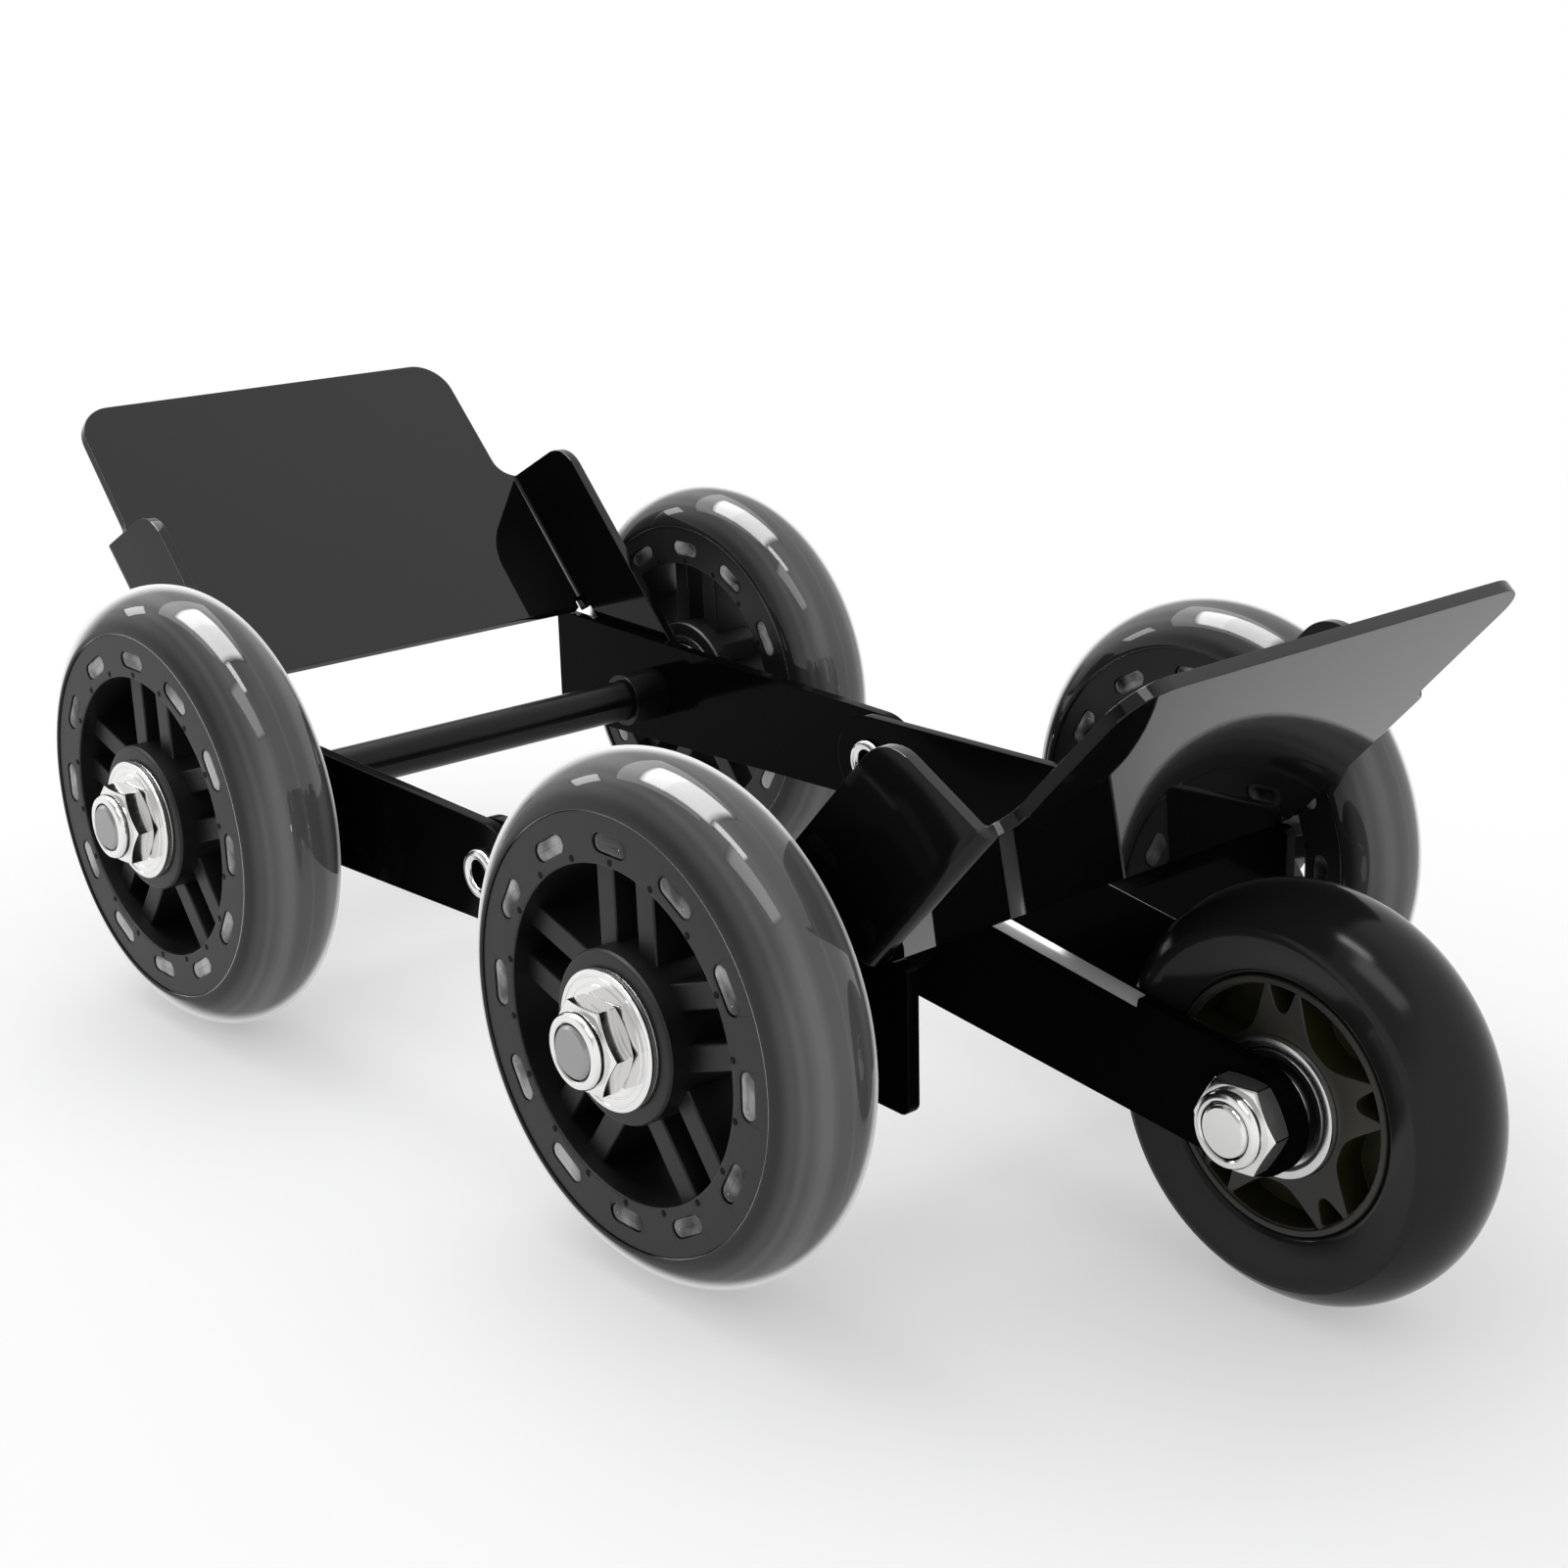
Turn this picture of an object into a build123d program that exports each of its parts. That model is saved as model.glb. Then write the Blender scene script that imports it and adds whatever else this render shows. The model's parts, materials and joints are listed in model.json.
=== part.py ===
"""Folding tyre dolly with four road wheels, two flip-in cradle plates and a nose wheel on a swinging fork.

Units are millimetres. X runs along the dolly towards the nose wheel, Y across it to the far side and Z up.
The floor is at Z = 0 and the origin is the middle of the dolly's footprint on the floor.
While the pieces are made, X = 0 is the hinge; they are moved to the footprint's middle at the end.
"""

import os
from math import acos, atan2, cos, hypot, radians, sin, tan

from build123d import *

# Frame: two halves of flat bar that meet at the hinge
AXLE_X = 85.0
HINGE_Z = 51.0
ARM_T = 3.0
ARM_INNER_Y = 54.0
ARM_GAP = 0.5
LEFT_TAIL = 41.0
RIGHT_TAIL = 38.4
ARM_END_UP = 14.6
ARM_END_DOWN = 14.3
ARM_CORNER_R = 2.0
HINGE_END_R = 11.0

# Hinge pins
PIN_R = 4.0
PIN_HEAD_R = 5.4
PIN_HEAD_T = 1.9
PIN_TAIL_T = 1.3
PIN_BEVEL = 0.7
PIN_SIDE_GAP = 0.2

# Axle rods and what is threaded on them
ROD_R = 5.0
ROD_CHAMFER = 0.6
ROD_PROUD = 0.3
COLLAR_R = 6.5
COLLAR_LENGTH = 10.5
TUBE_R = 7.0
PAD_R = 9.0
BUSH_NECK_R = 7.0
BUSH_FLANGE_R = 9.0
BUSH_FLANGE_T = 3.6
WASHER_R = 13.2
WASHER_T = 1.4
NUT_FLATS = 16.0
NUT_HEX_T = 5.0
NUT_COLLAR_R = 7.2
NUT_COLLAR_T = 2.2

# Clearances
SLIP = 0.05
RUNNING = 0.06
SEAT_GAP = 0.05
EAR_GAP = 0.4
BUSH_GAP = 0.3
END_PLAY = 0.1
BOND = 0.02

# Cradle plates, measured along the slope from the point nearest the axle
CRADLE_SLOPE = 46.8
CRADLE_T = 2.5
CRADLE_BEND_R = 1.0
AXLE_OFFSET = 13.0
LUG_R = 11.0
SHOULDER = 76.5
UPPER_LENGTH = 38.3
NECK_INSET = 3.9
TOP_INSET = 4.9
NECK_FILLET_R = 6.0
TOP_CORNER_R = 9.0
EAR_RAKE = 15.0
EAR_CORNER_R = 9.0
RELIEF_WIDTH = 1.8
RELIEF_LENGTH = 3.0

# Ball bearings, the common 10 x 26 x 8 size
BEARING_R = 13.0
BEARING_W = 8.0
SHIELD_OUTER_R = 11.4
SHIELD_INNER_R = 7.6
SHIELD_DEPTH = 0.5
SLEEVE_R = 7.4

# Road wheels
WHEEL_R = 50.0
TREAD_HEIGHT = 9.0
TYRE_BEAD_HALF = 11.6
HUB_HALF = 11.1
FLANGE_T = 2.4
RIM_BAND = 9.6
BARREL_WALL = 2.0
BEARING_SPAN = 25.0
BOSS_WALL = 3.3
BOSS_SET_BACK = 0.2
SEAT_SHOULDER = 1.5
SPOKE_HALF = 7.8
SPOKE_WIDTH = 5.0
SPOKE_GAP = 6.0
SPOKE_PAIRS = 5
SPOKE_PHASE = 19.0
SLOT_COUNT = 12
SLOT_LENGTH = 9.5
SLOT_WIDTH = 4.0
SLOT_INSET = 5.5

# Nose wheel and its fork
NOSE_REACH = 85.0
NOSE_R = 39.0
NOSE_SHOULDER_DROP = 6.3
NOSE_TYRE_HALF = 12.0
NOSE_TREAD_HEIGHT = 15.0
NOSE_HUB_HALF = 9.2
NOSE_RIM_WALL = 1.4
NOSE_WEB_HALF = 8.6
NOSE_BEARING_SPAN = 20.0
NOSE_BOSS_WALL = 1.5
NOSE_FLOOR_HALF = 1.6
NOSE_POCKETS = 5
NOSE_POCKET_ANGLE = 46.0
NOSE_POCKET_PHASE = 54.0
NOSE_POCKET_LAND = 0.5
NOSE_NOTCH_ANGLE = 13.0
NOSE_NOTCH_DEPTH = 4.4
NOSE_SPACER_R = 7.4
FORK_T = 3.0
FORK_SIDE_GAP = 1.0
FORK_PIVOT_R = 12.5
FORK_TIP_R = 10.6
FORK_BEND_R = 3.5
WEB_START = 15.0
WEB_TYRE_GAP = 0.5
TUBE_SIDE_GAP = 0.4
BOLT_FLATS = 16.0
BOLT_HEAD_T = 6.4

# Places that follow from the sizes above
AXLE_Z = WHEEL_R
NOSE_X = AXLE_X + NOSE_REACH
NOSE_Z = NOSE_R
LEFT_IN = ARM_INNER_Y
LEFT_OUT = LEFT_IN + ARM_T
RIGHT_OUT = LEFT_IN - ARM_GAP
RIGHT_IN = RIGHT_OUT - ARM_T
EAR_IN = LEFT_OUT + EAR_GAP
EAR_OUT = EAR_IN + CRADLE_T
NECK_END = EAR_OUT + BUSH_GAP
BUSH_END = NECK_END + BUSH_FLANGE_T
WHEEL_Y = BUSH_END + END_PLAY + BEARING_SPAN / 2
WASHER_IN = WHEEL_Y + BEARING_SPAN / 2 + END_PLAY
NUT_IN = WASHER_IN + WASHER_T
NUT_OUT = NUT_IN + NUT_HEX_T + NUT_COLLAR_T
ROD_END = NUT_OUT + ROD_PROUD
ARM_END_X = AXLE_X + LEFT_TAIL
FORK_IN = NOSE_TYRE_HALF + FORK_SIDE_GAP
FORK_OUT = FORK_IN + FORK_T
EAR_HEIGHT = AXLE_OFFSET + LUG_R
CRADLE_TOP = SHOULDER + UPPER_LENGTH


def axis_plane(y):
    """Plane across the dolly at Y = y: its own x and y run along X and Z, and its normal looks along -Y."""
    return Plane(origin=(0, y, 0), x_dir=(1, 0, 0), z_dir=(0, -1, 0))


def slab(outline, y_low, y_high):
    """Thicken an outline drawn in X and Z from y_low to y_high."""
    return extrude(axis_plane(y_high) * outline, amount=y_high - y_low)


def ring(outer, inner, y_low, y_high, x=0.0, z=0.0):
    """Round tube or washer with its axis across the dolly."""
    return slab(Pos(x, z) * (Circle(outer) - Circle(inner)), y_low, y_high)


def both_sides(y_inner, y_outer):
    """The near and the far stretch between two distances from the middle, each as (name, low, high)."""
    return [("near", -y_outer, -y_inner), ("far", y_inner, y_outer)]


def strap(x_1, z_1, r_1, x_2, z_2, r_2):
    """Outline of two discs and the two straight edges that touch both, with its upper touching points."""
    spread = acos((r_1 - r_2) / hypot(x_2 - x_1, z_2 - z_1))
    heading = atan2(z_2 - z_1, x_2 - x_1)
    up_1 = (x_1 + r_1 * cos(heading + spread), z_1 + r_1 * sin(heading + spread))
    up_2 = (x_2 + r_2 * cos(heading + spread), z_2 + r_2 * sin(heading + spread))
    low_1 = (x_1 + r_1 * cos(heading - spread), z_1 + r_1 * sin(heading - spread))
    low_2 = (x_2 + r_2 * cos(heading - spread), z_2 + r_2 * sin(heading - spread))
    bar = make_face(Polyline(up_1, up_2, low_2, low_1, close=True))
    outline = bar + Pos(x_1, z_1) * Circle(r_1) + Pos(x_2, z_2) * Circle(r_2)
    return outline, up_1, up_2


def arm_edge(z_end, turn):
    """Point on the hinge's round end where an arm's straight edge to (ARM_END_X, z_end) touches it."""
    reach = hypot(ARM_END_X, z_end - HINGE_Z)
    angle = atan2(z_end - HINGE_Z, ARM_END_X) + turn * acos(HINGE_END_R / reach)
    return HINGE_END_R * cos(angle), HINGE_Z + HINGE_END_R * sin(angle)


ARM_TOP_END = AXLE_Z + ARM_END_UP
ARM_LOW_END = AXLE_Z - ARM_END_DOWN
ARM_TOP_START = arm_edge(ARM_TOP_END, 1)
ARM_LOW_START = arm_edge(ARM_LOW_END, -1)


def edge_height(start, z_end, x):
    """Height at x of an arm's straight edge from its start to (ARM_END_X, z_end)."""
    return z_end - (z_end - start[1]) * (ARM_END_X - x) / (ARM_END_X - start[0])


def arm_outline(side, tail, hinge_hole_r):
    """Tapered flat bar from the hinge to its square end; side is -1 for the left half and 1 for the right."""
    end_x = AXLE_X + tail
    top_end = (end_x, edge_height(ARM_TOP_START, ARM_TOP_END, end_x))
    low_end = (end_x, edge_height(ARM_LOW_START, ARM_LOW_END, end_x))
    corners = [ARM_TOP_START, top_end, low_end, ARM_LOW_START]
    bar = make_face(Polyline(*[(side * x, z) for x, z in corners], close=True))
    ends = bar.vertices().filter_by(lambda v: abs(abs(v.X) - end_x) < 1e-3)
    bar = fillet(ends, radius=ARM_CORNER_R)
    outline = bar + Pos(0, HINGE_Z) * Circle(HINGE_END_R)
    outline -= Pos(0, HINGE_Z) * Circle(hinge_hole_r)
    return outline - Pos(side * AXLE_X, AXLE_Z) * Circle(ROD_R + SLIP)


def hinge_pin(direction):
    """Pin through both arms of one side; direction is -1 for the near pin and 1 for the far one."""
    tail_in = RIGHT_IN - PIN_SIDE_GAP - PIN_TAIL_T
    tail_out = RIGHT_IN - PIN_SIDE_GAP
    head_out = LEFT_OUT + PIN_HEAD_T
    profile = Polyline(
        (0, tail_in),
        (PIN_HEAD_R - PIN_BEVEL, tail_in),
        (PIN_HEAD_R, tail_in + PIN_BEVEL),
        (PIN_HEAD_R, tail_out),
        (PIN_R, tail_out),
        (PIN_R, LEFT_OUT),
        (PIN_HEAD_R, LEFT_OUT),
        (PIN_HEAD_R, head_out - PIN_BEVEL),
        (PIN_HEAD_R - PIN_BEVEL, head_out),
        (0, head_out),
        close=True,
    )
    pin = revolve(make_face(profile), axis=Axis.Y)
    if direction < 0:
        pin = mirror(pin, about=Plane.XZ)
    return Pos(0, 0, HINGE_Z) * pin


def rod(x):
    """Through axle with chamfered ends."""
    shaft = slab(Pos(x, AXLE_Z) * Circle(ROD_R), -ROD_END, ROD_END)
    return chamfer(shaft.edges().filter_by(GeomType.CIRCLE), length=ROD_CHAMFER)


def bush(x, direction):
    """Shouldered bush: the neck carries a cradle ear and the flange holds the wheel off it."""
    neck = ring(BUSH_NECK_R, ROD_R + SLIP, LEFT_OUT, NECK_END, x, AXLE_Z)
    flange = ring(BUSH_FLANGE_R, ROD_R + SLIP, NECK_END, BUSH_END, x, AXLE_Z)
    piece = neck + flange
    return piece if direction > 0 else mirror(piece, about=Plane.XZ)


def lock_nut(x, z, y_seat, direction):
    """Hexagon nut with a round collar, seated at y_seat and facing outwards in the given direction."""
    hexagon = slab(RegularPolygon(NUT_FLATS / 2, 6, major_radius=False), y_seat, y_seat + NUT_HEX_T)
    collar = slab(Circle(NUT_COLLAR_R), y_seat + NUT_HEX_T, y_seat + NUT_HEX_T + NUT_COLLAR_T)
    nut = hexagon + collar - slab(Circle(ROD_R + SLIP), y_seat, y_seat + NUT_HEX_T + NUT_COLLAR_T)
    if direction < 0:
        nut = mirror(nut, about=Plane.XZ)
    return Pos(x, 0, z) * nut


def cradle_foot():
    """Distance along the slope at which the plate's lower back edge stands on top of the arms."""
    rise = sin(radians(CRADLE_SLOPE))
    run = cos(radians(CRADLE_SLOPE))
    fall = (ARM_TOP_END - ARM_TOP_START[1]) / (ARM_END_X - ARM_TOP_START[0])
    depth = AXLE_OFFSET + CRADLE_T
    z_zero = AXLE_Z - depth * run
    x_zero = AXLE_X + depth * rise
    arm_top = ARM_TOP_END - fall * (ARM_END_X - x_zero) + SEAT_GAP
    return (arm_top - z_zero) / (rise - fall * run)


def cradle_blank():
    """One cradle plate in its own frame: x up the slope, y across, z towards the tyre, axle at x = 0."""
    foot = cradle_foot()
    neck_half = EAR_IN - NECK_INSET
    top_half = EAR_IN - TOP_INSET
    lower = Pos((foot + SHOULDER) / 2, 0) * Rectangle(SHOULDER - foot, 2 * EAR_OUT)
    upper = make_face(
        Polyline((foot, -neck_half), (SHOULDER, -neck_half), (CRADLE_TOP, -top_half), (CRADLE_TOP, top_half),
                 (SHOULDER, neck_half), (foot, neck_half), close=True))
    upper = fillet(upper.vertices().group_by(Axis.X)[-1], radius=TOP_CORNER_R)
    face = lower + upper
    necks = face.vertices().filter_by(
        lambda v: abs(v.X - SHOULDER) < 1e-3 and abs(abs(v.Y) - neck_half) < 1e-3)
    face = fillet(necks, radius=NECK_FILLET_R)
    plate = extrude(face, amount=-CRADLE_T)

    ear_tip = (SHOULDER - EAR_HEIGHT * tan(radians(EAR_RAKE)), EAR_HEIGHT)
    wing = make_face(
        Polyline((foot, -CRADLE_T), (SHOULDER, -CRADLE_T), (SHOULDER, 0), ear_tip, (foot, EAR_HEIGHT),
                 close=True))
    wing = fillet(wing.vertices().sort_by_distance((*ear_tip, 0))[0], radius=EAR_CORNER_R)
    leg = Pos(foot / 2, AXLE_OFFSET) * Rectangle(foot, 2 * LUG_R)
    ear = wing + leg + Pos(0, AXLE_OFFSET) * Circle(LUG_R)
    ear -= Pos(0, AXLE_OFFSET) * Circle(BUSH_NECK_R + RUNNING)
    for _, low, high in both_sides(EAR_IN, EAR_OUT):
        plate += slab(ear, low, high)

    along = plate.edges().filter_by(Axis.X)
    outer = along.filter_by(
        lambda e: abs(abs(e.center().Y) - EAR_OUT) < 1e-3 and abs(e.center().Z + CRADLE_T) < 1e-3)
    plate = fillet(outer, radius=CRADLE_BEND_R + CRADLE_T)
    along = plate.edges().filter_by(Axis.X)
    inner = along.filter_by(
        lambda e: abs(abs(e.center().Y) - EAR_IN) < 1e-3 and abs(e.center().Z) < 1e-3)
    plate = fillet(inner, radius=CRADLE_BEND_R)
    relief = Box(2 * RELIEF_LENGTH, RELIEF_WIDTH, 4 * CRADLE_T)
    for direction in (-1, 1):
        plate -= Pos(foot, direction * (EAR_IN - RELIEF_WIDTH / 2), 0) * relief
    return plate


def cradle(side):
    """The cradle plate of one half, leaning outwards from the axle."""
    up = (side * cos(radians(CRADLE_SLOPE)), 0, sin(radians(CRADLE_SLOPE)))
    inward = (-side * sin(radians(CRADLE_SLOPE)), 0, cos(radians(CRADLE_SLOPE)))
    origin = (side * AXLE_X - AXLE_OFFSET * inward[0], 0, AXLE_Z - AXLE_OFFSET * inward[2])
    return Plane(origin=origin, x_dir=up, z_dir=inward) * cradle_blank()


def bearing(y_mid):
    """Shielded ball bearing drawn as one ring, with its shields set back between the two races."""
    y_low = y_mid - BEARING_W / 2
    y_high = y_mid + BEARING_W / 2
    race = ring(BEARING_R, ROD_R + SLIP, y_low, y_high)
    race -= ring(SHIELD_OUTER_R, SHIELD_INNER_R, y_low, y_low + SHIELD_DEPTH)
    return race - ring(SHIELD_OUTER_R, SHIELD_INNER_R, y_high - SHIELD_DEPTH, y_high)


def bearing_set(span):
    """Two bearings with their outer faces span apart, and the sleeve that keeps their inner races apart."""
    y_mid = span / 2 - BEARING_W / 2
    sleeve = ring(SLEEVE_R, ROD_R + SLIP, -span / 2 + BEARING_W, span / 2 - BEARING_W)
    return bearing(-y_mid), bearing(y_mid), sleeve


def bearing_seats(span, half):
    """What is bored out of a hub: two bearing seats with a shoulder between them."""
    shoulder = span / 2 - BEARING_W
    bore = slab(Circle(BEARING_R - SEAT_SHOULDER), -half, half)
    bore += slab(Circle(BEARING_R + BOND), -half, -shoulder)
    return bore + slab(Circle(BEARING_R + BOND), shoulder, half)


def road_hub():
    """Moulded hub: slotted rim channel, pairs of parallel spokes and a boss with two bearing seats."""
    rim_r = WHEEL_R - TREAD_HEIGHT
    barrel_r = rim_r - RIM_BAND
    channel_r = barrel_r + BARREL_WALL
    channel_half = HUB_HALF - FLANGE_T
    boss_half = BEARING_SPAN / 2 - BOSS_SET_BACK
    boss_r = BEARING_R + BOSS_WALL
    rim = make_face(
        Polyline((barrel_r, -HUB_HALF), (rim_r, -HUB_HALF), (rim_r, -channel_half),
                 (channel_r, -channel_half), (channel_r, channel_half), (rim_r, channel_half),
                 (rim_r, HUB_HALF), (barrel_r, HUB_HALF), close=True))
    hub = revolve(rim, axis=Axis.Y)
    slot = Pos(rim_r - SLOT_INSET, 0) * Rot(0, 0, 90) * SlotOverall(SLOT_LENGTH, SLOT_WIDTH)
    slots = Sketch() + PolarLocations(0, SLOT_COUNT) * slot
    hub -= slab(slots, -HUB_HALF, HUB_HALF)
    spoke_in = boss_r - SPOKE_WIDTH / 2
    spoke_out = barrel_r + BARREL_WALL / 2
    offset = (SPOKE_GAP + SPOKE_WIDTH) / 2
    bar = Rectangle(spoke_out - spoke_in, SPOKE_WIDTH)
    pair = Pos((spoke_in + spoke_out) / 2, offset) * bar + Pos((spoke_in + spoke_out) / 2, -offset) * bar
    bars = Sketch() + PolarLocations(0, SPOKE_PAIRS, start_angle=SPOKE_PHASE) * pair
    spokes = slab(bars, -SPOKE_HALF, SPOKE_HALF)
    boss = slab(Circle(boss_r), -boss_half, boss_half)
    return hub + spokes + boss - bearing_seats(BEARING_SPAN, boss_half)


def road_tyre():
    """Poured tyre with a round crown that fills the channel between the hub's flanges."""
    rim_r = WHEEL_R - TREAD_HEIGHT + BOND
    channel_r = WHEEL_R - TREAD_HEIGHT - RIM_BAND + BARREL_WALL + BOND
    channel_half = HUB_HALF - FLANGE_T - BOND
    crown = ThreePointArc((rim_r, TYRE_BEAD_HALF), (WHEEL_R, 0), (rim_r, -TYRE_BEAD_HALF))
    bead = Polyline((rim_r, -TYRE_BEAD_HALF), (rim_r, -channel_half), (channel_r, -channel_half),
                    (channel_r, channel_half), (rim_r, channel_half), (rim_r, TYRE_BEAD_HALF))
    return revolve(make_face([crown, bead]), axis=Axis.Y)


def nose_hub():
    """Small moulded hub: deep pockets in both faces, and notches that split each spoke towards the rim."""
    rim_r = NOSE_R - NOSE_TREAD_HEIGHT
    well_r = rim_r - NOSE_RIM_WALL
    pocket_r = well_r - NOSE_POCKET_LAND
    boss_r = BEARING_R + NOSE_BOSS_WALL
    profile = Polyline((0, -NOSE_WEB_HALF), (well_r, -NOSE_WEB_HALF), (well_r, -NOSE_HUB_HALF),
                       (rim_r, -NOSE_HUB_HALF), (rim_r, NOSE_HUB_HALF), (well_r, NOSE_HUB_HALF),
                       (well_r, NOSE_WEB_HALF), (0, NOSE_WEB_HALF), close=True)
    hub = revolve(make_face(profile), axis=Axis.Y)
    pocket = round_sector(boss_r, pocket_r, NOSE_POCKET_ANGLE)
    notch = round_sector(pocket_r - NOSE_NOTCH_DEPTH, pocket_r, NOSE_NOTCH_ANGLE)
    cuts = Sketch() + PolarLocations(0, NOSE_POCKETS, start_angle=NOSE_POCKET_PHASE) * pocket
    cuts += PolarLocations(0, NOSE_POCKETS, start_angle=NOSE_POCKET_PHASE + 180 / NOSE_POCKETS) * notch
    hub -= slab(cuts, NOSE_FLOOR_HALF, NOSE_HUB_HALF)
    hub -= slab(cuts, -NOSE_HUB_HALF, -NOSE_FLOOR_HALF)
    return hub - bearing_seats(NOSE_BEARING_SPAN, NOSE_HUB_HALF)


def round_sector(r_inner, r_outer, angle):
    """Area between two radii, angle degrees wide about the x axis, with its inner corners well rounded."""
    half = radians(angle / 2)
    inner = ThreePointArc((r_inner * cos(half), -r_inner * sin(half)), (r_inner, 0),
                          (r_inner * cos(half), r_inner * sin(half)))
    outer = ThreePointArc((r_outer * cos(half), -r_outer * sin(half)), (r_outer, 0),
                          (r_outer * cos(half), r_outer * sin(half)))
    face = make_face([inner, Line(inner @ 1, outer @ 1), outer, Line(inner @ 0, outer @ 0)])
    inner_corners = face.vertices().sort_by_distance((0, 0, 0))[:2]
    return fillet(inner_corners, radius=min(0.75 * r_inner * half, 0.6 * (r_outer - r_inner)))


def nose_tyre():
    """Moulded tyre of the nose wheel: low round crown and sides that draw in to the rim."""
    rim_r = NOSE_R - NOSE_TREAD_HEIGHT + BOND
    shoulder_r = NOSE_R - NOSE_SHOULDER_DROP
    crown = ThreePointArc((shoulder_r, NOSE_TYRE_HALF), (NOSE_R, 0), (shoulder_r, -NOSE_TYRE_HALF))
    inside = Polyline((shoulder_r, -NOSE_TYRE_HALF), (rim_r, -NOSE_HUB_HALF), (rim_r, NOSE_HUB_HALF),
                      (shoulder_r, NOSE_TYRE_HALF))
    return revolve(make_face([crown, inside]), axis=Axis.Y)


def fork():
    """Bent channel: side plates from the axle to the nose wheel, and a web on top that stops at the tyre."""
    outline, up_1, up_2 = strap(AXLE_X, AXLE_Z, FORK_PIVOT_R, NOSE_X, NOSE_Z, FORK_TIP_R)
    outline -= Pos(AXLE_X, AXLE_Z) * Circle(ROD_R + RUNNING)
    outline -= Pos(NOSE_X, NOSE_Z) * Circle(ROD_R + SLIP)
    channel = slab(outline, -FORK_OUT, FORK_OUT)

    run = cos(atan2(up_2[1] - up_1[1], up_2[0] - up_1[0]))
    rise = sin(atan2(up_2[1] - up_1[1], up_2[0] - up_1[0]))
    web_plane = Plane(origin=(up_1[0], 0, up_1[1]), x_dir=(run, 0, rise), z_dir=(-rise, 0, run))
    room = 2 * NOSE_REACH
    notch_x = NOSE_X - NOSE_R - WEB_TYRE_GAP + FORK_IN
    web_end = (notch_x - up_1[0]) / run
    channel -= web_plane * (Pos(0, 0, -FORK_T - room / 2) * Box(2 * room, 2 * FORK_IN, room))
    channel -= web_plane * (Pos(WEB_START - room / 2, 0, 0) * Box(room, 2 * FORK_IN, room))
    mouth = Circle(FORK_IN) + Pos(room / 2, 0) * Rectangle(room, 2 * FORK_IN)
    channel -= Pos(notch_x, 0, 0) * extrude(mouth, amount=room)

    edge = FORK_OUT - FORK_BEND_R
    square = Pos(edge + FORK_BEND_R, 0) * Rectangle(2 * FORK_BEND_R, 2 * FORK_BEND_R)
    shaving = extrude(
        Plane.YZ.offset(WEB_START) * (square - Pos(edge, -FORK_BEND_R) * Circle(FORK_BEND_R)),
        amount=web_end - WEB_START)
    channel -= web_plane * shaving
    return channel - web_plane * mirror(shaving, about=Plane.XZ)


def hex_bolt():
    """Bolt of the nose wheel with its head on the far side."""
    y_end = -(FORK_OUT + NUT_HEX_T + NUT_COLLAR_T + ROD_PROUD)
    shank = slab(Circle(ROD_R), y_end, FORK_OUT)
    head = slab(RegularPolygon(BOLT_FLATS / 2, 6, major_radius=False), FORK_OUT, FORK_OUT + BOLT_HEAD_T)
    return Pos(NOSE_X, 0, NOSE_Z) * (shank + head)


def wheel(name, place, tyre, hub, span):
    """The nodes of one wheel, moved to its place."""
    inner, outer, sleeve = bearing_set(span)
    return {
        f"tyre_{name}": place * tyre,
        f"hub_{name}": place * hub,
        f"bearing_a_{name}": place * inner,
        f"bearing_b_{name}": place * outer,
        f"sleeve_{name}": place * sleeve,
    }


def half(name, side, arm_in, arm_out, tail, hinge_hole_r):
    """The nodes that both halves of the dolly have: arms, axle, cradle and what is threaded on the axle."""
    x = side * AXLE_X
    nodes = {f"{name}_axle": rod(x), f"{name}_cradle": cradle(side)}
    for end, low, high in both_sides(arm_in, arm_out):
        nodes[f"{name}_arm_{end}"] = slab(arm_outline(side, tail, hinge_hole_r), low, high)
    for end, low, high in both_sides(WASHER_IN, NUT_IN):
        nodes[f"{name}_washer_{end}"] = ring(WASHER_R, ROD_R + SLIP, low, high, x, AXLE_Z)
    for end, direction in (("near", -1), ("far", 1)):
        nodes[f"{name}_bush_{end}"] = bush(x, direction)
        nodes[f"{name}_nut_{end}"] = lock_nut(x, AXLE_Z, NUT_IN, direction)
    return nodes


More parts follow.
